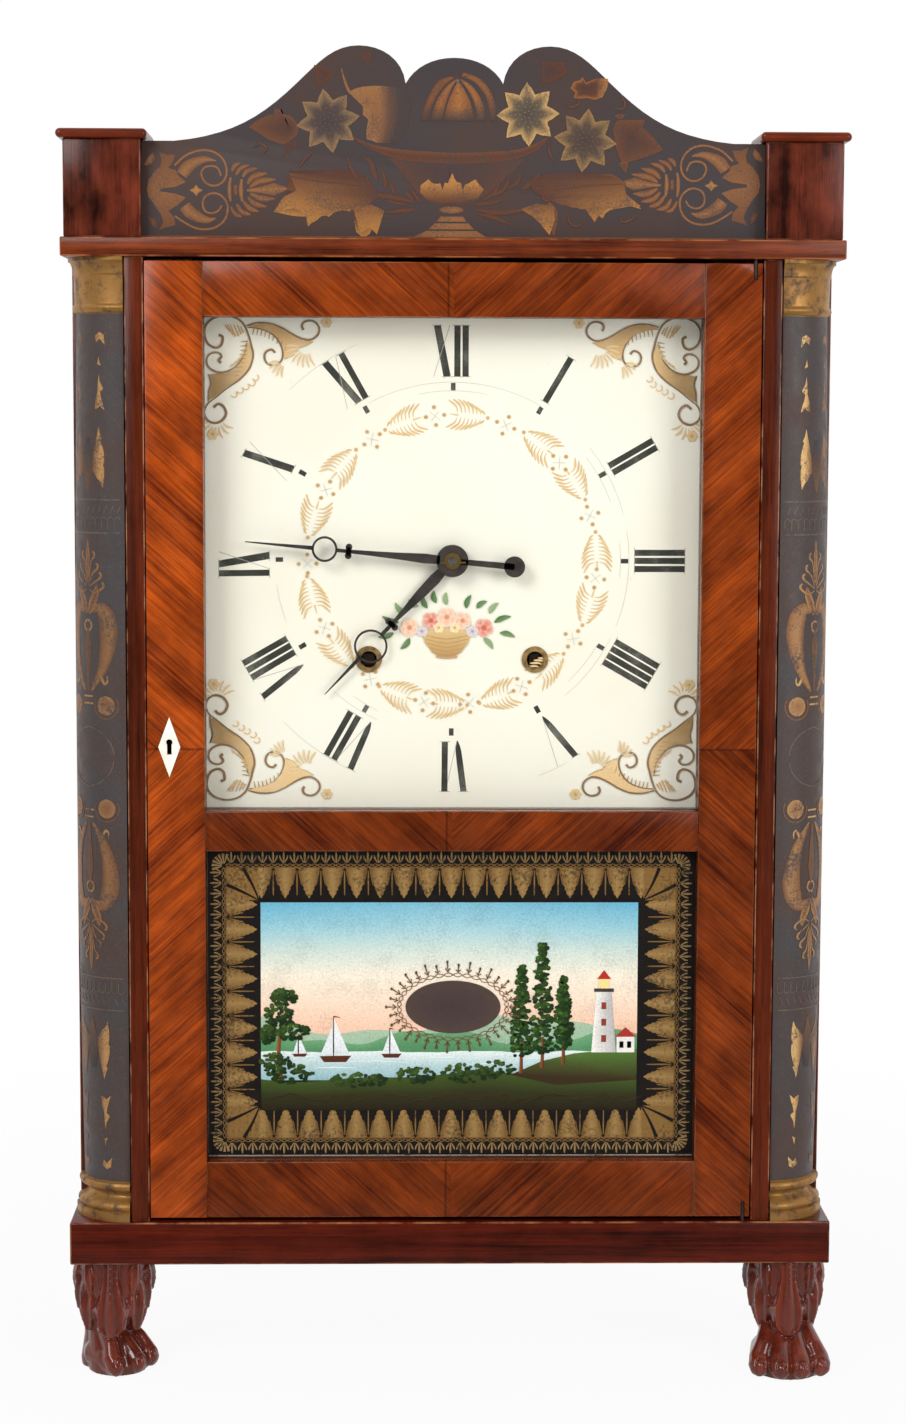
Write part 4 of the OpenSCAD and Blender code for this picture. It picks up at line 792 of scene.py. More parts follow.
def powder_rub():
    """Paint or bronze powder rubbed thin in specks and patches over its ground"""
    group, given, made = shader_group("powder_rub", {"Ground": "Color", "Amount": "Float",
        "Scale": "Float"}, {"Color": "Color", "Kept": "Float"})
    place = put(group, "TexCoord")
    paint = put(group, "Attribute", attribute_name="paint")
    specks = noise(group, place, given["Scale"], 3, 0.7)
    both = calc(group, "ADD", specks, noise(group, place, 75, 3))
    bare = calc(group, "MULTIPLY", span(group, both, 1, 1.22), given["Amount"], use_clamp=True)
    shown = blend(group, bare, paint.outputs["Color"], given["Ground"])
    uneven = span(group, specks, 0.3, 0.7, 1.12, 0.88)
    feed(made["Color"], put(group, "VectorMath", {0: shown, 1: uneven}, operation="MULTIPLY"))
    feed(made["Kept"], calc(group, "SUBTRACT", 1, bare))
    return group


RUB = powder_rub()


def powder(name, ground, amount, scale=800, metal=0.3, rough=0.5, specular=0.3):
    """Stencilled bronze powder or dry paint over a ground colour"""
    material, tree = new_material(name)
    rub = put(tree, "Group", {"Ground": ground, "Amount": amount, "Scale": scale}, node_tree=RUB)
    shine = calc(tree, "MULTIPLY", put(tree, "Attribute", attribute_name="shine"), rub.outputs["Kept"])
    return principled(material, {"Base Color": rub, "Metallic": calc(tree, "MULTIPLY", shine, metal),
        "Roughness": rough, "Specular IOR Level": specular})


def old_paint(tree, place, clouds, first, second, specks, pale):
    """Two tones in clouds under fine pale specks, each given as scale, detail, low, high and
    most. It gives the colour, the clouds and the specks"""
    cloud = noise(tree, place, *clouds[:2])
    fine = noise(tree, place, *specks[:2])
    paint = blend(tree, span(tree, cloud, *clouds[2:4], 0, clouds[4]), first, second)
    return blend(tree, span(tree, fine, *specks[2:4], 0, specks[4]), paint, pale), cloud, fine


SHAFT_GROUND = (73, 66, 65)


def column_finish():
    """Grey-brown painted shaft with fine drying cracks, worn gilding on the turned ends"""
    material, tree = new_material("column_paint")
    place = put(tree, "TexCoord")
    gilt = put(tree, "Attribute", attribute_name="gilt")
    paint = old_paint(tree, place, (26, 5, 0.35, 0.65, 1), tint(70, 66, 67), tint(78, 61, 55),
        (900, 2, 0.55, 0.75, 0.35), tint(110, 94, 83))[0]
    rub = noise(tree, place, 120, 5, 0.7)
    bare = span(tree, rub, 0.48, 0.66)
    gold = blend(tree, bare, tint(167, 122, 65), tint(76, 54, 40))
    kept = calc(tree, "MULTIPLY", calc(tree, "SUBTRACT", 1, bare), gilt)
    return principled(material, {"Base Color": blend(tree, gilt, paint, gold), "Metallic": calc(tree,
        "MULTIPLY", kept, 0.55), "Roughness": span(tree, rub, 0.3, 0.7, 0.34, 0.6),
        "Normal": raised(tree, rub, 0.0002), "Specular IOR Level": 0.35})


def column_lay(side):
    def lay(u, v, lift):
        radius = shaft_radius(v / 1000) + lift / 1000
        angle = side * pi / 4 + u / 1000 / shaft_radius(v / 1000)
        return (side * COLUMN_AXIS[0] + radius * sin(angle), COLUMN_AXIS[1] - radius * cos(angle), v / 1000)
    return lay


def mixed(a, b, share):
    return tuple(p + (q - p) * share for p, q in zip(a, b))


MIRROR_LINE = 354
LEAF_LOBES = (((8.2, 184), (9, 180.5), (10.6, 177), (9.7, 176.4), (10.9, 172.8), (11.8, 169),
    (11.9, 164.5), (11.2, 163), (11.9, 160.5), (11.8, 156), (11, 150.2), (9.2, 153.6), (7.2, 155.6),
    (5.2, 158.4), (4, 159.4), (3.4, 162), (4.2, 167), (5.6, 173), (7.2, 180)), ((8.3, 213), (8.9, 209),
    (11.2, 205), (10.2, 203.8), (9.2, 203.4), (9.7, 200), (10.9, 197), (12, 193), (10.4, 194.3),
    (9, 195.6), (7.8, 194.2), (5.6, 193.6), (6.2, 199), (7.5, 203), (7.7, 208)), ((8, 222.5),
    (8.7, 219.6), (9.6, 217.6), (8.4, 217.9), (7.3, 218.4)), ((5.6, 234), (8.6, 236), (11.2, 234.5),
    (12, 229), (10.5, 230.4), (8.8, 232.4), (6.4, 230.4)))


def stencil_column(inlay, gold, copper, faint, near):
    """Half the design, v measured from the shaft's middle, set both up and down. The leaf lobes on the side
    near, toward the middle of the case, get a painted highlight and the outer ones painted shade
    """
    dark = SHAFT_GROUND
    soft = mixed(copper, gold, 0.55)
    for way in (1, -1):
        def at(*points):
            return [(u, MIRROR_LINE + way * v) for u, v in points]

        for flip in (1, -1):
            # Painted highlight on the lobes toward the middle of the case, painted shade on the outer ones
            bright = mixed(copper, gold, 1 if flip == near else 0.25)
            dull = mixed(dark, copper, 0.9 if flip == near else 0.6)

            def glow(u, v, flip=flip, bright=bright, dull=dull):
                return mixed(dull, bright, clamp((flip * u - 3.6) / 5))

            for lobe in LEAF_LOBES:
                inlay.shape(at(*[(flip * u, v) for u, v in lobe]), glow)
        inlay.shape(at((-3.6, 170), (-4, 159.4), (-2.4, 156.6), (-1.4, 152), (0.2, 147.8), (1.4, 152),
            (2.6, 156.6), (4, 159.4), (3.6, 170), (1.8, 178), (-1.8, 178)),
            lambda u, v: mixed(mixed(dark, copper, 0.85), dark, clamp((abs(v - MIRROR_LINE) - 150) / 26)))
        for flip in (1, -1):
            def on(*points):
                return at(*[(flip * u, v) for u, v in points])

            inlay.stroke(on((3, 82), (8, 83.6), (12.3, 79.4), (14.2, 70), (12.8, 58), (9.6, 48),
                (5, 40.5), (2.6, 37)), (2, 7.5, 10.6, 11, 8.6, 5.8, 3.2, 0.8), (mixed(dark, copper, 0.8),
                mixed(copper, gold, 0.4), mixed(copper, gold, 0.3), copper), fine=6)
            inlay.stroke(on((9.4, 45), (11.6, 41.4), (13.4, 42.6), (13.2, 45.6)), (2.4, 2, 1.4, 0.6),
                (copper, gold, copper))
            inlay.disc(at((flip * 12.3, 29))[0], 5.4, 5.4, mixed(copper, gold, 0.2), soft)
            inlay.ring(at((flip * 12.3, 29))[0], 7.4, 0.9, copper, 1, 150, 390)
            inlay.stroke(on((0.9, 80.5), (3.4, 86), (6, 91.5), (6.6, 96)), (2.2, 5.4, 4.6, 0.6),
                (soft, copper, soft))
            for curl, (u, v) in enumerate(((5, 114), (7.5, 107.5), (9.5, 102.5), (11.3, 97))):
                inlay.stroke(on((0.8, 97 - curl), (u * 0.5, v - 5), (u * 0.95, v - 2.2), (u, v),
                    (u - 1.4, v + 0.9)), (0.5, 1.1, 1.7, 1.9, 0.7), (copper, mixed(copper, gold, 0.6),
                    copper))
            inlay.stroke(on((17, 2), (15, 8), (9, 14), (0, 17)), (0.7, 0.7), (faint, faint), 0.6)
        inlay.stroke(at((0, 122), (0, 113), (0, 105), (0, 98)), (0.4, 3.2, 2.2, 0.6), (soft, copper, soft))
        inlay.ring(at((0, 73.7))[0], 2.9, 1.3, soft)
        inlay.stroke(at((0, 72), (0, 62), (0, 50), (0, 37.6)), (0.8, 5.2, 3, 1), (copper,
            mixed(dark, copper, 0.7), copper))
        for v in (30, 34):
            inlay.stroke(at((-3.8, v), (3.8, v)), (1.3, 1.3), (copper, gold, copper))
        for v in (125.3, 143.7):
            inlay.stroke(at(*[(u, v) for u in range(-21, 22, 3)]), (0.8, 0.8), (faint, faint), 0.7)
        for k in range(-5, 6):
            inlay.ring(at((k * 3.9, 132.5))[0], 1.5, 0.55, faint, 0.7, 0, 180 * way)
            inlay.stroke(at((k * 3.9 - 1.5, 127.6), (k * 3.9 - 1.5, 132.5)), (0.55, 0.55), (faint, faint),
                0.7)
            inlay.stroke(at((k * 3.9, 136.5), (k * 3.9 + 1.95, 140.5)), (0.6, 0.6), (faint, faint), 0.7)


COLUMN_FINISH = column_finish()
COLUMN_POWDER = powder("column_stencil", tint(*SHAFT_GROUND), 0.85, 700, 0.35)
# The right column's gold and copper are painted lighter than the left's, a painted highlight; the stencil
# is the same on both
for side, name, gold, copper in ((-1, "left", (190, 144, 92), (122, 84, 60)), (1, "right",
        (220, 178, 118), (136, 92, 62))):
    add_piece("turned_column_" + name, quarter_column(side), COLUMN_FINISH, "case",
        "bronze_stencilled_wood", "column_" + name)
    stencil = Inlay(column_lay(side), grain=1.7)
    stencil_column(stencil, gold, copper, (112, 94, 82), -side)
    stencil.lay_down("column_stencil_" + name, COLUMN_POWDER, "case", "bronze_stencilled_wood")


# Cornice, plinth blocks and their bullnosed caps: mahogany veneer and solid mouldings. The
# grain runs across the cornice and caps; the blocks show a dark, curly figure.
cornice_wood = wood("cornice_mahogany", (142, 59, 14), (52, 14, 4), (171, 99, 54), GRAIN_ACROSS, 1.2, 1.6,
    0.8, 0.34)
block_wood = wood("block_mahogany", (120, 48, 26), (36, 9, 3), (135, 81, 63), GRAIN_UP, 0.6, 1.2, 2.2, 0.3)
cap_wood = wood("cap_mahogany", (135, 52, 22), (54, 16, 7), (171, 108, 72), GRAIN_ACROSS, 1, 1.2, 0.7, 0.3)
worked("cornice_board", "cornice", cornice_wood, "case", "mahogany_veneer", 0.0008)
worked("plinth_blocks", "plinths", block_wood, "case", "mahogany_veneer", 0.0008)
dress("plinth_caps", cap_wood)


# Crest board: a thin sawn board painted grey-brown and stencilled in bronze powders: a
# footed bowl of fruit, star flowers and leaves between two palmettes lying on their sides.
CREST_FACE = -40
CREST_FOOT = 641.5
DARK = (75, 63, 61)


def crest_paint():
    """Thin old paint: dark edges, a faint brown bloom and fine pale specks"""
    material, tree = new_material("crest_paint")
    place = put(tree, "TexCoord")
    paint, cloud, fine = old_paint(tree, place, (18, 4, 0.38, 0.62, 1), tint(68, 60, 61),
        tint(76, 58, 52), (1100, 2, 0.58, 0.78, 0.3), tint(108, 86, 74))
    broken = span(tree, noise(tree, place, 90, 3), 0.4, 0.55, 0.2, 0.9)
    rubbed = calc(tree, "MULTIPLY", broken, put(tree, "Attribute", attribute_name="wear"))
    return principled(material, {"Base Color": blend(tree, rubbed, paint, tint(94, 59, 43)),
        "Roughness": span(tree, cloud, 0.3, 0.7, 0.42, 0.6), "Normal": raised(tree, fine, 0.00004, 0.6),
        "Specular IOR Level": 0.25})


GOLD = (160, 112, 70)
BRIGHT = (190, 132, 70)
COPPER = (130, 84, 56)
RUST = (102, 64, 48)
UMBER = (86, 60, 52)
SHINING = (COPPER, GOLD, COPPER)
worked("crest_board", "crest", crest_paint(), "case", "bronze_stencilled_wood", 0.0007)


def on_front(face, foot=0):
    """Lays a drawing on an upright plane, its origin at the middle and at the foot's height"""
    return lambda u, v, lift: (u / 1000, (face - lift) / 1000, (foot + v) / 1000)


crest = Inlay(on_front(CREST_FACE, CREST_FOOT), 0.03, 0.0015)


def palmette(side, drop):
    """Tulip, two line spirals, bars and a fan of leaves, lying with its tip to the middle"""
    def at(points):
        return [(side * abs(u), v + drop) for u, v in points]

    crest.shape(at([(-168.9, 26.2), (-168.1, 31.4), (-164.6, 36.3), (-161.4, 38.7), (-160.7, 42.6),
        (-162.5, 47.1), (-158.1, 45.2), (-153.2, 45.2), (-154.7, 41.2), (-157.2, 38), (-152.9, 36.8),
        (-151.5, 33.8), (-147.5, 30.4), (-153.2, 27.8), (-161.4, 26.8), (-161.7, 25.3), (-153.2, 24.1),
        (-147.5, 22), (-152.2, 17.8), (-157.2, 14.7), (-154, 11.2), (-153.4, 7), (-157.5, 6),
        (-162.5, 4.2), (-160, 8.4), (-161.4, 12.9), (-165.4, 18.9), (-168.1, 22.3)]),
        lambda u, v: mixed(mixed(COPPER, GOLD, 0.55), RUST, min(1, abs(v - 26 - drop) / 40)))
    crest.patch(at([(-170.7, 39.4), (-168.2, 43.9), (-165.4, 46.4), (-164.5, 43.2), (-166.1, 40.5),
        (-168.9, 39.1)]), at([(-167.1, 42.6)])[0], GOLD, COPPER)
    crest.patch(at([(-168.9, 11.9), (-165.4, 11.2), (-163.6, 8), (-163.9, 4.9), (-166.1, 6.7),
        (-167.5, 9.8)]), at([(-165.7, 8.4)])[0], COPPER, RUST)
    crest.stroke(at([(-149.7, 34.3), (-146.8, 38.2), (-142.6, 41), (-136.9, 42.8), (-130.8, 42)]),
        (6.5, 7, 5.5, 3.5, 0.3), SHINING)
    crest.stroke(at([(-148.3, 17.6), (-145.4, 14.1), (-140.4, 11.3), (-135.4, 9.9), (-130.8, 11)]),
        (6.5, 7, 5.5, 3.5, 0.3), SHINING)
    for line in ([(-153.6, 39.4), (-148.3, 44.3), (-142.6, 46.9), (-136.9, 47.8), (-131.2, 46.4),
            (-126.9, 42.6), (-125.1, 37.7), (-125.8, 32.8), (-129, 29.3), (-133.3, 28.6), (-137.2, 30.7),
            (-139, 34.9), (-137.6, 38), (-134, 39.2), (-130.4, 38.4), (-128.7, 35.6), (-128.4, 33.8)],
            [(-153.6, 11.9), (-148.3, 8.4), (-142.6, 5.6), (-136.9, 4.8), (-131.2, 6), (-126.5, 9.8),
            (-124.6, 15.4), (-125.5, 20.2), (-129, 23.7), (-133.3, 24.4), (-137.2, 22.3), (-138.3, 18.2),
            (-136.9, 14.7), (-133.3, 13.6), (-129.7, 15), (-127.9, 17.8)]):
        crest.stroke(at(line), (1.2, 1.3, 1.2, 1.1), SHINING)
    crest.patch(at([(-145.6, 26), (-143.3, 27.2), (-141.8, 29.1), (-140.6, 27.2), (-137.9, 26),
        (-140.6, 24.7), (-141.8, 22.9), (-143.3, 24.7)]), at([(-141.8, 26)])[0], BRIGHT, GOLD)
    crest.stroke(at([(-122.9, 33.1), (-123.5, 29.7), (-123.6, 26.2), (-123.5, 22.7), (-122.9, 19.9)]),
        (1.2, 2.2, 1.2), SHINING)
    crest.stroke(at([(-120.1, 29), (-120.3, 26.2), (-120.1, 23.7)]), (1.6, 1.8, 1.6),
        (COPPER, COPPER, COPPER))
    crest.stroke(at([(-116.8, 32.2), (-117.2, 29), (-117.3, 26), (-117, 22.7), (-116.5, 19.9)]),
        (1.4, 2.6, 1.4), SHINING)
    crest.stroke(at([(-114.1, 26.1), (-106.9, 26.4), (-99.1, 26.8), (-91.6, 27.1)]), (1, 3.5, 7, 0.3),
        SHINING)
    for line, wide in (([(-112.3, 27.8), (-106.9, 30.8), (-97.7, 32.1)], 3.4), ([(-113.7, 29.6),
            (-110.1, 33.4), (-102.7, 35.4)], 3.2), ([(-116.2, 33.1), (-113.7, 36.4), (-108.2, 38.1)],
            2.6), ([(-119.8, 34.3), (-117.6, 37.7), (-112.5, 39.8)], 2.4), ([(-122, 36.4), (-120.8, 39.1),
            (-117.6, 40.9)], 2.4), ([(-112.3, 24.4), (-106.2, 21.6), (-98.4, 21.5)], 3.4),
            ([(-113.7, 22.5), (-109.8, 18.7), (-103, 17.2)], 3), ([(-116.2, 20.4), (-112.6, 16.2),
            (-107.5, 14.5)], 2.8), ([(-119.8, 18.7), (-116.9, 14.3), (-111.8, 12.9)], 2.8),
            ([(-123, 17.3), (-120.5, 13.1), (-116.8, 11.7)], 2.2)):
        crest.stroke(at(line), (1.2, wide, wide * 1.1, 0.4), (COPPER, mixed(GOLD, COPPER, 0.3), RUST))


def star_flower(centre, reach, turn, edge, heart):
    """Eight pointed petals about a dotted dark eye"""
    outline = []
    for k in range(32):
        angle = radians(turn + k * 11.25)
        share = (1, 0.8, 0.65, 0.8)[k % 4]
        outline.append(around(centre, reach * share, reach * share, angle))
    crest.patch(outline, centre, heart, edge, 0.8, 0.58, mixed(heart, edge, 0.18))
    for k in range(8):
        angle = radians(turn + k * 45)
        crest.stroke([around(centre, reach * r, reach * r, angle) for r in (0.5, 0.9)], (0.5, 0.3),
            (mixed(edge, heart, 0.5), mixed(edge, heart, 0.5)))
    for count, r, size in ((16, 0.4, 0.42), (10, 0.25, 0.4), (5, 0.11, 0.4)):
        for k in range(count):
            angle = radians(turn + k * 360 / count)
            crest.disc(around(centre, reach * r, reach * r, angle), size, size, mixed(edge, heart, 0.35),
                mixed(edge, heart, 0.6), count=6)


def half_leaf(mid, rim, inner, outer, between=None):
    """One side of a leaf, faded from its midrib to its cut edge"""
    between = between or mixed(inner, outer, 0.45)
    fine_mid = flowing(mid, 4)
    steps = 4 * (len(mid) - 1)
    line = []
    for i in range(steps + 1):
        spot = i / steps * (len(rim) - 1)
        k = min(int(spot), len(rim) - 2)
        line.append(Vector(rim[k]).lerp(Vector(rim[k + 1]), spot - k))
    crest.band(fine_mid, line, (inner, between, outer))


palmette(-1, 0)
palmette(1, 3.9)
crest.patch([(-77.2, 94.1), (-71.7, 93.1), (-65.6, 90.4), (-67.8, 87.1), (-71.7, 84.4), (-75.3, 82.8),
    (-76.1, 88.2)], (-71.7, 89.3), UMBER, RUST)
crest.patch([(-51.8, 100.6), (-45.7, 101), (-45.5, 97.9), (-47.9, 94.7), (-50.7, 97.4)], (-48.3, 98.5),
    mixed(DARK, RUST, 0.5), RUST)
crest.patch([(-112.9, 60.3), (-107.6, 64.4), (-101.8, 67.2), (-99.2, 67.2), (-98.7, 71.4), (-97.2, 69.8),
    (-95.2, 70.7), (-95.6, 67.9), (-89.9, 66.6), (-85.3, 61.2), (-86.6, 55.8), (-93.6, 50.7),
    (-102, 53.6), (-108.7, 58)], (-90.4, 60.1), UMBER, mixed(COPPER, RUST, 0.4))
crest.patch([(-94.9, 43.9), (-92.1, 51.5), (-87.7, 53.6), (-86.4, 50.4), (-90.4, 47.1)], (-90.4, 49.9),
    UMBER, RUST)
half_leaf([(-92.1, 26.4), (-81.1, 25), (-70, 28.2), (-59, 31.5), (-46.8, 33.1)], [(-90.4, 37.4),
    (-88.2, 36.6), (-81.1, 37.4), (-72.2, 37), (-62.3, 36.3), (-46.8, 33.3)], mixed(COPPER, RUST, 0.5),
    UMBER, RUST)
half_leaf([(-92.1, 26.4), (-83.3, 23.6), (-74.4, 24.2), (-65.6, 24.9), (-54.5, 21.2)], [(-99.3, 14.5),
    (-94.3, 13.4), (-87.7, 12.1), (-81.1, 12), (-81.1, 7), (-76.1, 9.6), (-73.9, 11.7), (-70.2, 13.7),
    (-69.8, 11.3), (-66.7, 13.7), (-65.6, 16), (-61.2, 15.6), (-54.5, 14.5)], mixed(DARK, RUST, 0.3),
    BRIGHT, RUST)
crest.stroke([(-84.4, 23.6), (-76.6, 25.5), (-70, 27.9), (-59, 31.2), (-47.4, 33.1)], (0.5, 0.9, 0.3),
    SHINING)
crest.ring((-66.9, 26.4), 2.6, 0.9, (206, 190, 170), 0.2)
crest.disc((-66.9, 26.4), 1, 1, (70, 52, 46), (96, 70, 56), count=8)
half_leaf([(-57.3, 15.8), (-52.3, 16.9), (-46.8, 17.4), (-41.8, 14.7)], [(-55, 10.4), (-54, 3.9),
    (-50.3, 0.5), (-46.6, 2.6), (-43.7, 8.8)], mixed(DARK, RUST, 0.6), BRIGHT, RUST)
crest.stroke([(-62.1, 92.5), (-60.7, 87.1), (-58.7, 81.7), (-56.8, 78.7)], (0.6, 1.6, 1.8), SHINING)
crest.patch([(-58.1, 79.3), (-55.1, 81.3), (-50.1, 82.6), (-43.5, 83.1), (-36.9, 82.7), (-31.4, 81.3),
    (-26.9, 79.3), (-25.6, 75.2), (-26.3, 69.8), (-28, 64.4), (-29.1, 59), (-32.5, 53.1), (-38, 52.3),
    (-43.5, 52.8), (-48.3, 54.1), (-48.3, 59), (-47.3, 64.7), (-50.3, 67.5), (-50.1, 71.8),
    (-53.7, 75.2)], (-38, 67.7), mixed(GOLD, COPPER, 0.6), GOLD, 1, 0.7, mixed(GOLD, COPPER, 0.2))
crest.band(flowing([(-40.4, 83.2), (-41.8, 75.2), (-41.8, 67.7), (-42.6, 60.1), (-43.5, 52.3)], 4),
    flowing([(-26.9, 81.5), (-24.1, 75.2), (-24.5, 66.6), (-26.3, 59), (-31.1, 51.9)], 4),
    (mixed(GOLD, COPPER, 0.35), mixed(COPPER, DARK, 0.45), DARK, DARK), 0.6)
for left, right, tone in (([(-0.4, 88.7), (-8.7, 86), (-13.7, 78.5), (-17, 70.9), (-19, 64.2)],
        [(0.7, 88), (-5.4, 83.3), (-10.1, 76.9), (-12.6, 70.9), (-13.9, 64.2)], 0.55),
        ([(0.9, 87.1), (-4.8, 82.6), (-9.3, 76.3), (-11.7, 70.4), (-13, 64.2)], [(1.3, 86.5),
        (-2.1, 80.6), (-4.6, 74.2), (-5.9, 68.8), (-6.8, 64.2)], 0.2), ([(2, 86), (-1.3, 80),
        (-3.7, 73.9), (-5.1, 68.5), (-5.7, 64.2)], [(2.4, 86), (5.8, 80.6), (8.6, 74.7), (10.2, 69.3),
        (10.6, 64.2)], 0), ([(3.1, 86.5), (6.9, 81.7), (10.2, 75.8), (11.9, 69.8), (12.4, 64.2)],
        [(3.6, 87.1), (9.7, 83.2), (13.9, 77.4), (16.4, 70.9), (17.2, 64.2)], 0.1),
        ([(3.8, 88.2), (10.6, 85.5), (16.1, 79.3), (18.8, 72), (19.5, 64.2)], [(4.9, 90.6), (13.9, 87.3),
        (19.7, 80.6), (22.5, 72.5), (23.2, 64.2)], 0.35)):
    fade = mixed((176, 114, 62), RUST, tone)
    crest.band(flowing(left, 3), flowing(right, 3), lambda t, fade=fade: (mixed(mixed(fade, RUST, 0.5),
        DARK, max(0, t - 0.55) * 2.2), mixed(fade, DARK, max(0, t - 0.62) * 2.6),
        mixed(mixed(fade, RUST, 0.5), DARK, max(0, t - 0.55) * 2.2)))
for tip in ((-1.3, 92.5), (5.3, 92.3), (-3.7, 89.1), (7.3, 88.6)):
    crest.stroke([(1.8, 87.3), tip], (0.9, 0.5), (UMBER, UMBER), 0.5)
crest.disc((1.8, 86), 1.3, 1.3, (150, 130, 112), UMBER, 0.4, 10)
rim_high = [(-56.8, 56), (-45.7, 51.5), (-30.2, 48.8), (-14.8, 47.7), (1.8, 47.1), (18.4, 47.7),
    (33.8, 48.8), (44.9, 52.3), (51.5, 56)]
rim_low = [(-52.8, 52.3), (-39.1, 45.6), (-25.8, 42.8), (-10.4, 41.5), (4, 41.3), (19.5, 42.2),
    (34.9, 44.1), (44.9, 48.4), (50.6, 53)]
for middle, edge in ((-2.6, ((-36.9, 43.9), (-28, 35.5), (-19.2, 24.2), (-10.9, 19.3), (-2.6, 18.4))),
        (-2.4, ((39.9, 43.9), (30.5, 35.5), (20, 25.8), (8.4, 19.5), (-2.4, 18.4)))):
    crest.band(flowing(edge, 3), flowing([(middle, v) for v in (42.4, 37.4, 27.7, 21.2, 18.4)], 3),
        (mixed(DARK, RUST, 0.7), mixed(DARK, UMBER, 0.6), (78, 60, 60)), 0.4)
crest.band(flowing(rim_high, 4), flowing(rim_low, 4), (mixed(COPPER, RUST, 0.3), RUST,
    mixed(RUST, COPPER, 0.3)))
crest.shape([(-18.7, 25.5), (-18.5, 29.3), (-14.2, 32.6), (-12.8, 31.2), (-11.5, 30.4), (-9.5, 30.1),
    (-7.6, 30.5), (-6.5, 26.8), (-5.1, 30.9), (-3.5, 30.4), (-2.4, 33.1), (-1, 36), (0.2, 32.9),
    (1.6, 31.2), (3.6, 30.7), (4.7, 26.8), (5.8, 29.6), (8.2, 30.7), (11.7, 32.7), (13.9, 29.6),
    (16.4, 27.2), (12.8, 22.3), (2.9, 19.9), (-8.2, 19.9), (-14.8, 21.8)],
    lambda u, v: mixed(mixed(RUST, COPPER, 0.3), BRIGHT, clamp((v - 21) / 9)))
crest.disc((-1.5, 16), 6.8, 2, GOLD, COPPER)
for outline in ([(-7.5, 12.4), (4.9, 12.4), (6.9, 9.6), (-9.5, 9.6)], [(-10.6, 8.7), (8, 8.7),
        (11.1, 5.4), (-14.2, 5.4)], [(-15.2, 4.6), (12.4, 4.6), (19, 0.5), (-23.6, 0.5)]):
    crest.patch(outline, (sum(u for u, v in outline) / 4, outline[0][1] - 1.5), GOLD,
        mixed(GOLD, COPPER, 0.4))
for line, wide in (([(-42.2, 31.4), (-43.9, 35.9), (-45.9, 41.7), (-51, 44.8)], 3.6),
        ([(-37.5, 27.5), (-38, 32), (-39.5, 38.5)], 2.6), ([(-32.2, 23.2), (-33.8, 27.5), (-35.1, 32)],
        2.2), ([(-22.3, 20.4), (-24.5, 23.4), (-27.4, 26.8)], 3), ([(-17.9, 19.9), (-21.2, 23.8),
        (-23.8, 27.9)], 2.2), ([(-21.6, 19.9), (-32.5, 22.7), (-42.4, 24.2), (-51.5, 26.6)], 3.6),
        ([(-20.3, 16.3), (-29.1, 15.6), (-38.9, 14.5)], 2.8), ([(-25.8, 18.8), (-32.5, 19.9),
        (-38, 21.2)], 2), ([(15.7, 21.2), (22.3, 25.5), (25.2, 32)], 2.4), ([(21.2, 23.6), (27.8, 27.7),
        (30.7, 34.6)], 2.6), ([(29.4, 27.7), (35.1, 31.4), (36.7, 37.4)], 2.4),
        ([(37.3, 27.5), (41.8, 30.3), (47.7, 36.1)], 3.4), ([(10.6, 18.8), (21.2, 19.9), (28.3, 22.3)],
        2.2), ([(11.7, 16.3), (22.8, 14.5), (32.7, 15.2), (47.1, 17.8)], 3.2),
        ([(13.9, 13.9), (22.8, 11.5), (31.6, 8)], 2.6)):
    crest.stroke(line, (0.6, wide, wide * 0.8, 0.3), (RUST, mixed(RUST, COPPER, 0.35), UMBER))
crest.patch([(47.8, 96.7), (61.2, 96.7), (60.4, 93.4), (62.1, 90.3), (57.9, 87.7), (52.8, 85.7),
    (47.8, 84.4)], (51.2, 91), mixed(UMBER, DARK, 0.3), RUST)
crest.patch([(63.7, 82.3), (65.6, 85.9), (68.9, 86.7), (70.3, 88.4), (72.3, 85.3), (77.1, 87.4),
    (81.3, 87.9), (84.3, 87.5), (84.7, 85.3), (83.3, 81.2), (81, 77.4), (77.1, 76.1), (72.9, 77.2),
    (67.9, 76.6), (65.4, 77.2), (66.4, 79.9)], (71.7, 82), UMBER, mixed(COPPER, (196, 120, 58), 0.5), 1,
    0.6, RUST)
crest.band(flowing([(77.1, 87.2), (78.1, 82.8), (77.1, 77.4)], 4), flowing([(84.3, 87.5), (83.7, 82.3),
    (81, 77.4)], 4), (RUST, mixed(COPPER, BRIGHT, 0.3), BRIGHT))
crest.patch([(87.2, 60.7), (89.7, 65.4), (94.7, 65.3), (105.1, 65.6), (103.4, 61.7), (106.4, 58.9),
    (109.8, 55.8), (115.3, 49.2), (108.1, 46.1), (101.4, 44), (96.4, 42.5), (93.5, 40.2), (91.4, 44.3),
    (88.8, 50.9)], (97.2, 55), UMBER, mixed(COPPER, RUST, 0.5))
crest.patch([(90.9, 42), (95.4, 42.7), (95.7, 40.2), (94.7, 36.6), (92.9, 38.4)], (93.5, 40.2), RUST,
    COPPER)
crest.patch([(88, 67.9), (90.9, 68.5), (94, 68.2), (92.2, 65.8), (89.3, 66.3)], (90.9, 67.2), RUST, COPPER)
half_leaf([(50.3, 35.7), (60.4, 34), (72.9, 31.2), (83.8, 28.9), (94.7, 27.1)], [(50.3, 35.7), (59.5, 36),
    (67.9, 33), (72.9, 36), (81.3, 35.8), (87.2, 36), (94.7, 31.2)], mixed(COPPER, RUST, 0.3),
    mixed(COPPER, RUST, 0.2), UMBER)
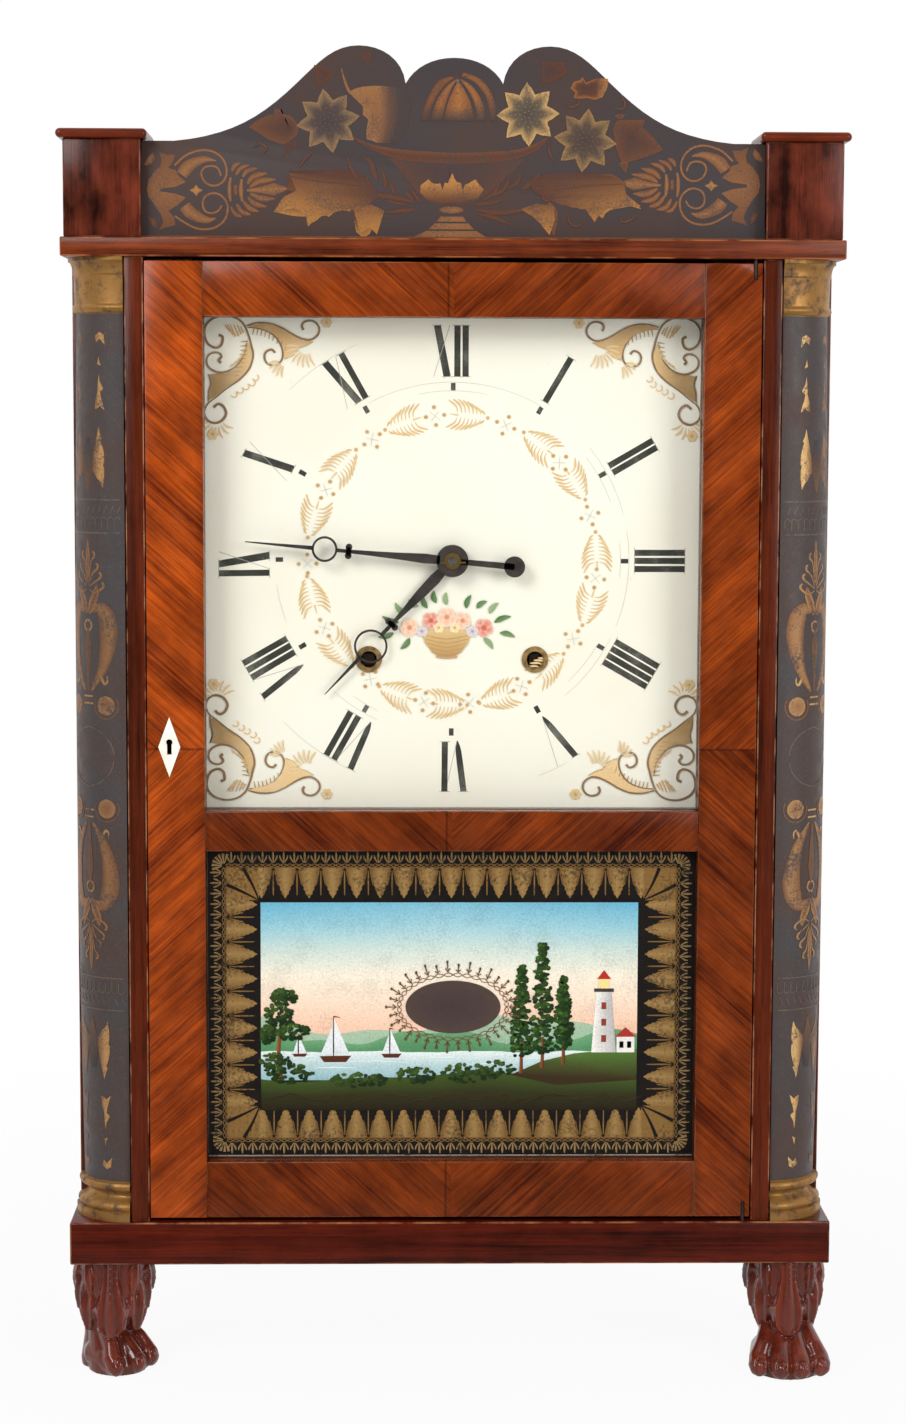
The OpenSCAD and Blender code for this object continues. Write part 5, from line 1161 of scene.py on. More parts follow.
half_leaf([(60.4, 32), (72.9, 30.2), (83.8, 28.1), (94.7, 27.1)], [(63.3, 18.3), (67.9, 18.5), (69.8, 16),
    (72.1, 17.9), (75.5, 15.2), (79, 13.8), (82.8, 11.4), (83.8, 16.3), (89.7, 16.9), (96.4, 18.8),
    (103.4, 16.9)], mixed(DARK, RUST, 0.4), BRIGHT, mixed(RUST, DARK, 0.2))
crest.patch([(47.8, 14), (52.8, 7.4), (55.2, 1.7), (56.9, 8.3), (57.2, 14.8), (55.5, 18.1), (52.8, 20.6),
    (49.5, 18.1)], (53, 14), mixed(UMBER, DARK, 0.4), COPPER)
crest.shape([(-99, 14.8), (-93.8, 22.7), (-86.8, 26.1), (-89.1, 31.2), (-90.9, 35.7), (-80.2, 35.1),
    (-64.3, 37.9), (-52.8, 36.3), (-45.6, 31.2), (-41.2, 22.7), (-47.6, 18.5), (-55.7, 16.5),
    (-64.3, 14.8), (-70.1, 12.5), (-75.9, 12), (-80.5, 6.3), (-81.6, 13.7), (-88, 16.5)],
    lambda u, v: mixed(mixed(RUST, UMBER, 0.3), BRIGHT, clamp((-56 - u) / 70 + (27 - v) / 26)))
crest.shape([(41, 32.3), (51.1, 35.7), (62.6, 36.8), (77.1, 36.3), (87.2, 34.6), (93.8, 31.2), (95, 25),
    (103, 18.5), (95.8, 18.5), (88.6, 17.1), (82.3, 17.6), (77.6, 9.7), (72.7, 16.5), (65.5, 17.6),
    (58.3, 19.3), (49.7, 22.7), (43.9, 26.1)], lambda u, v: mixed(mixed(RUST, UMBER, 0.3), BRIGHT,
    clamp((u - 60) / 70 + (26 - v) / 26)))
for line in ([(-92.6, 34), (-75.9, 31.2), (-52.8, 28.3), (-42.4, 22.1)], [(92.7, 30.6), (74.2, 29.8),
        (56.9, 27.8), (42.4, 27.8)]):
    crest.stroke(line, (0.5, 1.2, 0.5), (UMBER, mixed(RUST, COPPER, 0.4)), 0.6)
crest.shape([(-55.7, 17.1), (-51.6, 2.9), (-46.4, 6.3), (-42.4, 2.4), (-38.4, 15.4), (-45.6, 18.8)],
    lambda u, v: mixed(BRIGHT, RUST, clamp((v - 6) / 20)))
crest.shape([(36.7, 16.5), (43.6, 12.5), (48.2, 8), (52.8, 2.4), (55.7, 10.8), (55.1, 18.2),
    (45.3, 19.9)], lambda u, v: mixed(BRIGHT, RUST, clamp((v - 6) / 20)))
star_flower((-69.4, 63.9), 17.6, 9, (150, 118, 82), (74, 62, 62))
star_flower((72.1, 54.1), 17.4, -6, (156, 122, 76), (78, 64, 60))
star_flower((40.4, 68), 17.4, 2, (206, 164, 104), (82, 74, 66))
for curl in ([(-52.3, 29.9), (-56.8, 38.5), (-59, 44.4)], [(-110.9, 49.3), (-106.5, 51.5), (-103.1, 48.8),
        (-105.4, 46.1)], [(-77.7, 47.1), (-82.2, 42.8), (-85.5, 38.5)], [(61.2, 73), (64.6, 72.2),
        (67.9, 73.8), (68.4, 77.1)], [(87.2, 72.2), (92.2, 71.3), (93.7, 74.6), (91.4, 77.9)],
        [(62.9, 14.8), (63.7, 9.9), (67.9, 7.4), (71.3, 9.9)], [(91.4, 14), (93, 9.9), (98.1, 11.5),
        (99.7, 14)], [(48.2, 25.5), (49.3, 22.3), (52.6, 21.2), (54.8, 25.5)], [(51.5, 53.6),
        (52.6, 47.1), (54.8, 42.8)]):
    crest.stroke(curl, (0.5, 1.3, 0.5), (RUST, mixed(RUST, COPPER, 0.4)), 0.6)
crest.stroke([(-174, 0.8), (-80, 0.9), (0, 0.8), (80, 0.9), (174, 0.8)], (0.9, 1, 0.9),
    (COPPER, COPPER, RUST))
crest.lay_down("crest_stencil", powder("crest_powder", tint(*DARK), 0.6, 900, 0.3), "case",
    "bronze_stencilled_wood")


# Movement: wooden plates and wheels on steel arbors, thread-wound wooden drums, iron weights
# on their cords, the bell, the pendulum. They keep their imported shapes.
def metal(name, pale, dark, rough, metallic=1, scale=60, relief=0.0001, grain=(1, 1, 1)):
    """Metal with clouded tarnish; grain stretches the clouds into file or casting marks"""
    material, tree = new_material(name)
    where = put(tree, "Mapping", {"Vector": put(tree, "TexCoord"), "Scale": grain})
    cloud = noise(tree, where, scale, 5)
    fine = noise(tree, where, scale * 14, 3)
    return principled(material, {"Base Color": blend(tree, span(tree, cloud, 0.36, 0.66), tint(*pale),
        tint(*dark)), "Metallic": metallic, "Roughness": span(tree, cloud, 0.3, 0.7, rough, rough + 0.25),
        "Normal": raised(tree, fine, relief)})


def twisted_cord():
    """Pale flax cord: slanting strands that wind round its own line, and soft dirt"""
    material, tree = new_material("twisted_cord")
    strands = put(tree, "TexWave", {"Vector": along_grain(tree, (0.5, 0.5, 0)), "Scale": 260,
        "Distortion": 1.5, "Detail": 2}, bands_direction="Z")
    height = calc(tree, "ADD", strands, noise(tree, put(tree, "TexCoord"), 1500, 3))
    return principled(material, {"Base Color": blend(tree, strands, tint(120, 98, 70),
        tint(206, 186, 150)), "Roughness": 0.85, "Normal": raised(tree, height, 0.0003, 0.8),
        "Sheen Weight": 0.3})


plate_oak = wood("plate_oak", (178, 132, 80), (118, 78, 42), (190, 150, 100), GRAIN_UP, gloss=0.5, coat=0,
    wear=0.5)
wheel_cherry = wood("wheel_cherry", (176, 104, 58), (120, 60, 30), (190, 130, 80), GRAIN_UP, gloss=0.42,
    coat=0.05, wear=0.4)


def arbor_end(tree):
    """The winding square in front of the plate is dark; the rest keeps the wood's colour"""
    parts = put(tree, "SeparateXYZ", {0: put(tree, "TexCoord")})
    return span(tree, parts.outputs["Y"], -0.0105, -0.0095, 0.06, 1)


drum_wood = wood("drum_wood", (184, 140, 92), (128, 86, 48), (196, 156, 108), GRAIN_BACK, gloss=0.5,
    coat=0, wear=0.5, tone=arbor_end)
steel = metal("bright_steel", (176, 174, 170), (104, 98, 92), 0.3, grain=(8, 1, 8))
blued = metal("darkened_steel", (58, 54, 52), (34, 31, 30), 0.38, 0.7, 90, 0.00006)
brass = metal("aged_brass", (196, 158, 92), (112, 82, 44), 0.34, scale=90)
iron = metal("wrought_iron", (92, 84, 78), (52, 42, 36), 0.5, 0.8, 80, 0.0003)
cast = metal("cast_iron", (78, 72, 68), (46, 38, 33), 0.6, 0.6, 50, 0.0007)
bell_metal = metal("bell_metal", (196, 168, 120), (132, 104, 66), 0.28, scale=40)
grommet_brass = metal("grommet_brass", (206, 172, 112), (128, 96, 56), 0.4, 0.6, 220)
cord = twisted_cord()
for finish, members in ((plate_oak, ("front_plate", "back_plate")), (wheel_cherry, ("minute_wheel",
        "time_great_wheel", "second_wheel", "third_wheel", "strike_great_wheel", "pin_wheel",
        "lock_wheel", "fly", "hour_wheel")), (drum_wood, ("winding_drum_time", "winding_drum_strike")),
        (steel, ("verge", "hammer", "minute_arbor")), (brass, ("escape_wheel", "pendulum_bob")),
        (grommet_brass, ("dial_grommets",)), (iron, ("iron_fittings", "pendulum_rod", "pulley_time",
        "pulley_strike", "door_pivots")), (cast, ("weight_time", "weight_strike")), (bell_metal,
        ("bell",)), (cord, ("weight_cords",))):
    for member in members:
        dress(member, finish)


def laid_cord(x, y, low, high, turn=0.0065):
    """Three strands laid round each other, from low to high"""
    edit = bmesh.new()
    steps = int((high - low) / turn * 8)
    for strand in range(3):
        rings = []
        for i in range(steps + 1):
            z = low + (high - low) * i / steps
            way = 2 * pi * (i / 8 + strand / 3)
            centre = Vector((x + 0.00046 * cos(way), y + 0.00046 * sin(way), z))
            rings.append([edit.verts.new(centre + Vector((0.00052 * cos(pi * k / 3),
                0.00052 * sin(pi * k / 3), 0))) for k in range(6)])
        join_rings(edit, rings)
    return into_mesh(edit, "laid_cord")


for train in ("time", "strike"):
    box_low, box_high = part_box("drop_cord_" + train)
    piece = add_piece("laid_drop_cord_" + train, laid_cord((box_low[0] + box_high[0]) / 2,
        (box_low[1] + box_high[1]) / 2, box_low[2], box_high[2]), cord, "case", "cord",
        "drop_cord_" + train)
    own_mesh(piece)


# Dial: a painted pine board, cream ground with faint pencil lines, black numerals whose thin
# strokes have nearly worn away, a ring of feather sprays and scrolls in the corners.
DIAL_FACE = -24.5
HUB_HIGH = 463.6


def dial_ground():
    """Cream oil paint with brush marks, two creams in soft clouds and faint dirt"""
    material, tree = new_material("dial_ground")
    place = put(tree, "TexCoord")
    marks = noise(tree, put(tree, "Mapping", {"Vector": place, "Scale": (30, 30, 420)}), 1, 4)
    paint = old_paint(tree, place, (14, 5, 0.4, 0.7, 0.6), tint(250, 247, 232), tint(245, 239, 218),
        (420, 3, 0.66, 0.8, 0.35), tint(206, 200, 176))[0]
    return principled(material, {"Base Color": paint, "Roughness": span(tree, marks, 0.3, 0.7, 0.4, 0.55),
        "Normal": raised(tree, marks, 0.00005), "Specular IOR Level": 0.3})


dress("dial_board", dial_ground())
face = Inlay(on_front(DIAL_FACE, HUB_HIGH), 0.03, 0.0008, shine=0)
INK = (58, 59, 52)
FADED = (176, 174, 160)
PENCIL = (222, 219, 206)


def toward(degrees):
    """The way to a place on the dial, turned clockwise from the top"""
    return Vector((sin(radians(degrees)), cos(radians(degrees))))


def numeral(hour, strokes):
    """Each stroke: kind, tangential place at its outer and inner end; feet to the centre"""
    out = toward(30 * hour)
    across = Vector((out.y, -out.x))

    def at(a, r):
        return across * a + out * r

    high, low = 131.4, 102.8
    for kind, top, foot in strokes:
        if kind == "V":
            face.stroke([at(top, high), at(top + (foot - top) * 0.7, 111.5), at(foot, low - 0.6)],
                (3.5, 3.6, 3.2, 0.4), (INK, INK), fine=4)
            face.stroke([at(foot + 6.6, high), at(foot + 0.3, low)], (0.35, 0.3), (FADED, FADED))
        else:
            widths = (3.5, 3.4, 3.5) if kind == "I" else (3.9, 4, 4)
            face.stroke([at(top, high), at((top + foot) / 2, 117), at(foot, low)], widths, (INK, INK),
                fine=1)
        if kind == "X":
            face.stroke([at(top + 7, high), at(foot - 7.6, low)], (0.35, 0.3), (FADED, FADED))
        for r, a in ((high, top), (low, foot)):
            if kind != "V" or r == high:
                face.stroke([at(a - 3, r), at(a + 3, r)], (0.4, 0.3), (FADED, FADED))
    face.stroke([at(0.2, 99.4), at(0.2, 95.2)], (2.6, 2.6), (INK, INK))


for hour, strokes in enumerate(((("I", 0.6, 0.4),), (("I", -2.3, -2.2), ("I", 2.1, 2.2)),
        (("I", -4.6, -4.5), ("I", 0, 0), ("I", 4.6, 4.6)), (("I", -6.6, -6.6), ("I", -2.2, -2.2),
        ("I", 2.2, 2.2), ("I", 6.6, 6.6)), (("V", -5.6, -0.4),), (("V", -6.9, -3.2), ("I", 4, 3.8)),
        (("V", -9.6, -6.2), ("I", 1.2, 1.5), ("I", 6.2, 6.6)), (("V", -13.6, -9.2), ("I", -1, -0.6),
        ("I", 3.7, 3.8), ("I", 8.3, 8.2)), (("I", -7.6, -7.2), ("X", -2.4, 2.6)), (("X", -6.6, -0.6),),
        (("X", -6.8, -1.2), ("I", 3.6, 3.2)), (("X", -8.8, -3.2), ("I", 2.5, 2.5), ("I", 7.1, 7.1))), 1):
    numeral(hour, strokes)
for radius, arcs in ((99.8, ((-28, 30), (50, 75), (80, 112), (116, 140), (205, 222), (250, 262))),
        (95, ((-12, 12), (52, 70), (84, 96), (120, 136), (206, 216))), (132, ((-44, -24), (206, 226),
        (150, 158)))):
    for start, end in arcs:
        steps = max(3, int((end - start) / 4))
        face.stroke([(radius * sin(radians(start + (end - start) * i / steps)),
            radius * cos(radians(start + (end - start) * i / steps))) for i in range(steps + 1)],
            (0.22, 0.26, 0.2), (PENCIL, FADED, PENCIL), fine=3)

SPRAY_ANGLES = (340.7, 5.7, 37.1, 57.2, 86.7, 108.2, 137.9, 160.9, 182, 201.8, 231.3, 255.5, 287, 310.7)
TAN = (228, 192, 134)
PALE_TAN = (240, 216, 170)
BROWN = (200, 160, 108)
for index, angle in enumerate(SPRAY_ANGLES):
    out = toward(angle)
    along = Vector((out.y, -out.x)) * (-1 if index % 2 else 1)
    middle = out * 81.5
    for row in range(8):
        t = row / 7
        start = middle + along * (-9.8 + 15.4 * t)
        reach = 2.2 + 6.6 * sin(pi * (0.08 + 0.6 * t))
        lean = 2.6 + 3.2 * t
        for hand in (1, -1):
            tip = start + along * lean + out * hand * reach
            bend = start + along * lean * 0.2 + out * hand * reach * 0.6
            face.stroke([start + out * hand * 1.3, bend, tip], (0.3, 0.7, 1.35, 0.5), (PALE_TAN, TAN,
                BROWN if row % 3 == 0 else TAN), fine=3)
    face.stroke([middle + along * 5, middle + along * 10], (1.2, 0.4), (TAN, PALE_TAN))
    face.disc(middle - along * 11.6, 1.2, 1.2, BROWN, TAN, 0, 8)
CLUSTER_ANGLES = (353, 21.4, 47.5, 71.8, 97, 122.8, 151, 173, 191, 214.4, 242, 268.5, 299, 326.3)
for angle in CLUSTER_ANGLES:
    out = toward(angle)
    along = Vector((out.y, -out.x))
    for a, b in ((-5.2, 0), (5.2, 0), (0, 5), (0, -5)):
        face.disc(out * (81.5 + b) + along * a, 1.25, 1.25, (176, 136, 88), (226, 192, 140), 0, 8)
    for a in (1, -1):
        face.stroke([out * 78.8 - along * 2.6 * a, out * 84.2 + along * 2.6 * a], (0.25, 0.25),
            (PENCIL, FADED))

OUTLINE = (158, 128, 92)
DEEP = (134, 104, 72)
WASH = (240, 205, 150)


def spandrel_spot(x, y, far_x, far_y):
    """Two places of the corner design, from its drawing's units into mm from the hub"""
    return [(-140.8 + 0.0898 * px, 137.4 - 0.0896 * py) for px, py in ((x, y), (far_x, far_y))]


for side, rise in ((-1, 1), (1, 1), (-1, -1), (1, -1)):
    def at(points, side=side, rise=rise):
        return [(-side * u, rise * v) for u, v in points]

    face.shape(at([(-114.8, 122.1), (-113.4, 119.4), (-112.3, 115.9), (-112.5, 111.8), (-114.8, 106),
        (-119.3, 101.5), (-126.5, 96.6), (-133.7, 90.8), (-136.8, 89), (-136.4, 94.4), (-135.3, 98.8),
        (-136.9, 103.5), (-132.8, 104), (-127.4, 104), (-121.8, 106.5), (-117.9, 111.2),
        (-115.7, 116.8)]), lambda u, v: mixed(WASH, (170, 136, 88), max(0, min(0.95, (abs(u) - 108) / 24))))
    face.shape(at([(-114.6, 130.7), (-106.7, 131.8), (-100.4, 131.4), (-94.1, 128.6), (-88.7, 125),
        (-83.4, 122.5), (-78, 122.1), (-82.5, 119.8), (-87, 118), (-89.6, 114.5), (-94.3, 112.5),
        (-94.7, 116.8), (-96.3, 121.1), (-100.2, 125.5), (-105.8, 128.2), (-112.1, 129.3)]),
        lambda u, v: mixed(WASH, (196, 156, 102), clamp((v - 108) / 24)))
    for k in range(9):
        t = k / 8
        a = (292 - 60 * t * t, 170 + 210 * t)
        face.stroke(at(spandrel_spot(a[0], a[1], a[0] - 44, a[1] + 6)), (0.9, 0.4), (DEEP, TAN))
        b = (330 + 200 * t, 92 + 96 * t * t)
        face.stroke(at(spandrel_spot(b[0], b[1], b[0] - 8, b[1] + 40)), (0.9, 0.4), (DEEP, TAN))
    face.stroke(at([(-130.8, 125.5), (-128.6, 124.3), (-129.2, 120.2), (-132.2, 118.4), (-136.4, 120.3),
        (-138.5, 124.8), (-138.2, 130), (-134.6, 134.1), (-128.3, 136.1), (-122, 135.2), (-117.3, 132),
        (-114.6, 126.6), (-112.8, 120.3), (-111.7, 114.1), (-113.9, 106.9), (-119.3, 100.8),
        (-126.5, 95.8), (-132.6, 90.8), (-137.1, 87.2), (-139, 82.7), (-137.6, 78.6), (-133.7, 76.5),
        (-129.2, 77.9), (-126.8, 81.8), (-128.3, 85.8), (-131.3, 87.2), (-133.8, 85.2)]), (1.5, 1.3, 1,
        1.2, 0.8, 1.4, 1.5), (DEEP, OUTLINE), fine=4)
    face.stroke(at([(-129.5, 110), (-130.8, 111.4), (-129.2, 113.7), (-131.3, 115.7), (-134.9, 115.3),
        (-137.4, 112.6), (-137.1, 108.5), (-134, 105.7), (-129.2, 104.6), (-123.6, 106.4),
        (-119.1, 110.5), (-116.2, 115.9), (-115.3, 121.2)]), (1.6, 1.2, 1, 1.3, 0.9, 0.6),
        (DEEP, OUTLINE), fine=4)
    face.stroke(at([(-115.3, 130.6), (-109.4, 132.2), (-102.2, 132), (-95.9, 129.7), (-90.5, 126.6),
        (-85.2, 123.9), (-79.8, 123), (-75.7, 125.5), (-74.7, 129.1), (-76.5, 132.3), (-79.8, 133.6),
        (-83.2, 132.7), (-84.4, 130.6), (-83.5, 128.4)]), (0.8, 1, 1.2, 1.1, 1.4), (OUTLINE, DEEP), fine=4)
    face.stroke(at([(-114.8, 129.7), (-109.4, 129.3), (-103.1, 127.3), (-98.6, 123.9), (-95.9, 119.3),
        (-95, 115), (-96.3, 110.8), (-100.4, 108.7), (-104, 110), (-105.4, 113.2), (-104.4, 116.2),
        (-101.3, 117.5), (-99.3, 115.7)]), (0.6, 1, 1.1, 1.2, 1.3), (OUTLINE, DEEP), fine=4)
    face.stroke(at([(-78, 122), (-82.5, 119.6), (-86.4, 118.2), (-89.5, 114.4), (-94.3, 112.3)]),
        (0.5, 0.9, 0.5), (OUTLINE, TAN))
    face.stroke(at([(-136.7, 103.7), (-135.3, 98.8), (-136.4, 94.2), (-136.7, 88.5)]), (0.5, 0.9, 0.6),
        (OUTLINE, DEEP))
    for line in (((-127.4, 131.1), (-124.2, 127.5)), ((-126, 131.4), (-122.7, 125.5)), ((-124.5, 131.4),
            (-121.4, 124.6)), ((-122.4, 131.4), (-119.6, 124.8)), ((-120.4, 131.1), (-118.2, 125.9)),
            ((-118.7, 130.2), (-116.8, 126.8)), ((-123.2, 108.5), (-120.9, 110.8)), ((-121.6, 110),
            (-118.7, 112.3)), ((-120, 111.4), (-117.3, 113.9)), ((-118.4, 113.4), (-116.1, 116)),
            ((-117.3, 115.9), (-115.3, 118.5)), ((-124.7, 107.4), (-122.9, 109.4))):
        face.stroke(at(line), (0.5, 1.1), (TAN, BROWN))
    for count, hub, turn, spread, near, far in ((8, (-82, 119), 236, 74, 4, 11.5), (5, (-94.1, 111.4),
            226, 44, 3, 9.5), (7, (-132.3, 78.2), 268, 84, 4, 10.5)):
        for k in range(count):
            way = radians(turn + spread * (k / (count - 1) - 0.5) * 1.6)
            aim = Vector((cos(way), sin(way)))
            line = [(hub[0] + aim.x * near, hub[1] + aim.y * near), (hub[0] + aim.x * (near + far) / 2
                + aim.y * 0.6, hub[1] + aim.y * (near + far) / 2 - aim.x * 0.6), (hub[0] + aim.x * far,
                hub[1] + aim.y * far)]
            face.stroke(at(line), (0.4, 1.2, 0.6), (PALE_TAN, TAN), fine=3)
    for hub in ((-70.6, 132.7), (-134.4, 70.2)):
        for k in range(6):
            way = radians(60 * k)
            petal = at([(hub[0] + 2.1 * cos(way), hub[1] + 2.1 * sin(way))])[0]
            face.disc(petal, 1.2, 1.2, PALE_TAN, TAN, 0, 8)
        face.disc(at([hub])[0], 1, 1, BROWN, TAN, 0, 8)
    for hub in ((-110.3, 102), (-112.3, 99), (-115.7, 96.9), (-118.9, 94.9), (-122.3, 92.6)):
        face.ring(at([hub])[0], 1.7, 0.6, TAN, 0, 200, 420)

ROSE = (226, 128, 104)
PEACH = (244, 188, 152)
LEAF = (72, 118, 62)
PALE_LEAF = (142, 170, 118)
for u, v, turn, length, tone in ((-30, -35, 160, 10, LEAF), (-27, -30, 130, 8, PALE_LEAF),
        (-33, -41, 195, 9, LEAF), (-24, -44, 230, 8, LEAF), (24, -35, 20, 10, LEAF),
        (21, -30, 50, 8, PALE_LEAF), (27, -41, -15, 9, LEAF), (18, -44, -50, 8, PALE_LEAF),
        (-14, -27, 110, 8, LEAF), (8, -27, 70, 8, LEAF), (-3, -25, 92, 7, PALE_LEAF), (-19, -26, 145, 7,
        PALE_LEAF), (14, -27, 35, 7, LEAF), (-9, -24, 100, 7, LEAF)):
    way = radians(turn)
    aim = Vector((cos(way), sin(way)))
    side = Vector((-aim.y, aim.x))
    face.stroke([Vector((u, v)), Vector((u, v)) + aim * length * 0.5 + side * 0.8, Vector((u, v)) + aim
        * length], (0.5, 3.4, 2.6, 0.3), (tone, mixed(tone, PALE_LEAF, 0.6)), fine=4)
face.shape([(-17, -41), (-12, -39), (-3, -38.2), (6, -39), (11, -41), (9, -47), (5, -52), (2, -54),
    (-8, -54), (-11, -52), (-15, -47)], lambda u, v: mixed((224, 190, 132), (192, 148, 88),
    clamp((v + 40) / -14)))
for k in range(5):
    face.stroke([(-16 + k * 1.1, -42 - k * 2.4), (-3, -44.4 - k * 2.3), (10 - k * 1.1, -42 - k * 2.4)],
        (0.4, 0.5, 0.4), (BROWN, (170, 124, 70)))
face.stroke([(-9, -54.4), (-3, -55), (3, -54.4)], (1.2, 1.4, 1.2), (BROWN, BROWN))
for u, v, size, tone in ((-24, -38, 5.4, PEACH), (18, -38, 5.4, ROSE), (-12, -34, 5, ROSE),
        (6, -34, 5, PEACH), (-3, -32, 5.6, PEACH), (-17, -40, 3.4, (206, 196, 204)), (11.5, -40, 3.4,
        (206, 196, 204)), (-7.5, -38, 3, (240, 214, 150)), (1.5, -38, 3, (240, 214, 150))):
    for k in range(5):
        way = radians(72 * k + u * 7)
        face.disc((u + size * 0.5 * cos(way), v + size * 0.5 * sin(way)), size * 0.52, size * 0.52, tone,
            mixed(tone, (255, 246, 236), 0.55), 0, 10)
    face.disc((u, v), size * 0.34, size * 0.34, mixed(tone, (170, 60, 50), 0.5), tone, 0, 8)
face.lay_down("dial_painting", powder("dial_colours", tint(247, 243, 228), 0.16, 1500, 0, 0.5), "case",
    "dial_paint")


# Hands and turn buttons: dark filed steel, and small hardwood turns that hold the dial board.
def flat_part(edit, outline, low, high):
    """A closed plate with the given outline in x and z and its faces at y low and high"""
    front = [edit.verts.new((u / 1000, low / 1000, v / 1000)) for u, v in outline]
    back = [edit.verts.new((u / 1000, high / 1000, v / 1000)) for u, v in outline]
    edit.faces.new(front)
    edit.faces.new(back[::-1])
    count = len(outline)
    for i in range(count):
        edit.faces.new((front[i], back[i], back[(i + 1) % count], front[(i + 1) % count]))


def hand(angle, low, high, tip, ring, knob, arm, tail):
    """A filed hand: point, open ring, knob, swelling arm, hub and, if given, a tail disc.
    ring is (radius, outer, band), knob its radius, arm (from, widths), tail (radius, disc)"""
    aim = toward(angle)
    across = Vector((aim.y, -aim.x))

    def at(r, a):
        spot = aim * r + across * a
        return (spot.x, HUB_HIGH + spot.y)

    def disc(r, radius, a=0, stretch=1):
        return [at(r + radius * cos(2 * pi * i / 28), a + stretch * radius * sin(2 * pi * i / 28))
            for i in range(28)]

    edit = bmesh.new()
    near = ring[0] + ring[1] - 0.6
    flat_part(edit, [at(tip, -0.25), at(tip, 0.25), at(near + 1, 1.1), at(near, 1), at(near, -1),
        at(near + 1, -1.1)], low, high)
    circles = [[[edit.verts.new((x / 1000, y / 1000, z / 1000)) for x, z in disc(ring[0], radius)]
        for radius in (ring[1], ring[1] - ring[2])] for y in (low, high)]
    for i in range(28):
        j = (i + 1) % 28
        (fo, fi), (bo, bi) = circles
        edit.faces.new((fo[i], fo[j], fi[j], fi[i]))
        edit.faces.new((bo[i], bi[i], bi[j], bo[j]))
        edit.faces.new((fo[i], bo[i], bo[j], fo[j]))
        edit.faces.new((fi[i], fi[j], bi[j], bi[i]))
    for a in (-2.4, 2.4):
        flat_part(edit, disc(knob, 1.9, a), low, high)
    flat_part(edit, disc(knob, 1.5, 0, 1.8), low, high)
    start = ring[0] - ring[1] + 0.6
    stations = [(start, arm[1][0])] + list(zip(arm[0], arm[1]))
    flat_part(edit, [at(r, w / 2) for r, w in stations] + [at(r, -w / 2) for r, w in stations[::-1]], low,
        high)
    flat_part(edit, disc(0, 9), low, high)
    if tail:
        flat_part(edit, [at(0, 1.5), at(0, -1.5), at(-tail[0], -1.8), at(-tail[0], 1.8)], low, high)
        flat_part(edit, disc(-tail[0], tail[1]), low, high)
    return into_mesh(edit, "hand")


blued = metal("darkened_steel", (70, 62, 57), (46, 40, 37), 0.5, 0.25, 160, 0.0001)
add_piece("pointed_minute_hand", hand(275.2, -33.5, -30.7, 116.6, (72, 7.2, 1.2), 58.5,
    ((58, 46, 30, 16, 7), (2, 2.6, 3.8, 5.4, 4.6, 3.6)), (35, 5.9)), blued, "minute", "blued_steel",
    "minute_hand")
add_piece("pointed_hour_hand", hand(223.5, -28.7, -27.9, 104.2, (66.6, 9.5, 1.2), 49.5,
    ((46, 38, 26, 14, 6), (2.2, 3.4, 5.6, 6.4, 4.6, 3.4)), None), blued, "hour", "blued_steel", "hour_hand")
collet = bmesh.new()
flat_part(collet, [(4.6 * cos(2 * pi * i / 24), HUB_HIGH + 4.6 * sin(2 * pi * i / 24))
    for i in range(24)], -34.2, -33.5)
flat_part(collet, [(-7, HUB_HIGH - 0.6), (7.5, HUB_HIGH - 0.2), (7.5, HUB_HIGH - 1.2),
    (-7, HUB_HIGH - 1.6)], -34.45, -33.9)
add_piece("hand_collet", into_mesh(collet, "collet"), brass, "minute", "brass")
for side in ("left", "right"):
    dress("turn_button_" + side, wheel_cherry)


# Door: pine frame veneered in mahogany with the grain laid on the slant, mirrored about the
# middle of the dial rail, glazed above and below, with a bone escutcheon and wire pivots.
SEAM_HIGH = 0.359


def slanted(folded, lean=0.74):
    """Coordinates along and across a slanting grain that mirrors at the middle and, where
    folded is set, at the seam as well"""
    def place(tree):
        parts = put(tree, "SeparateXYZ", {0: put(tree, "TexCoord")}).outputs
        rise = calc(tree, "SUBTRACT", parts["Z"], SEAM_HIGH)
        sheet = calc(tree, "MULTIPLY_ADD", calc(tree, "SIGN", parts["X"]), 2, calc(tree, "SIGN", rise))
        depth = calc(tree, "MULTIPLY_ADD", sheet, 0.37, parts["Y"])
        high = calc(tree, "ABSOLUTE", rise) if folded else rise
        flat = put(tree, "CombineXYZ", {0: calc(tree, "ABSOLUTE", parts["X"]), 1: depth, 2: high})
        return put(tree, "Mapping", {"Vector": flat, "Rotation": (0, lean, 0)})
    return place


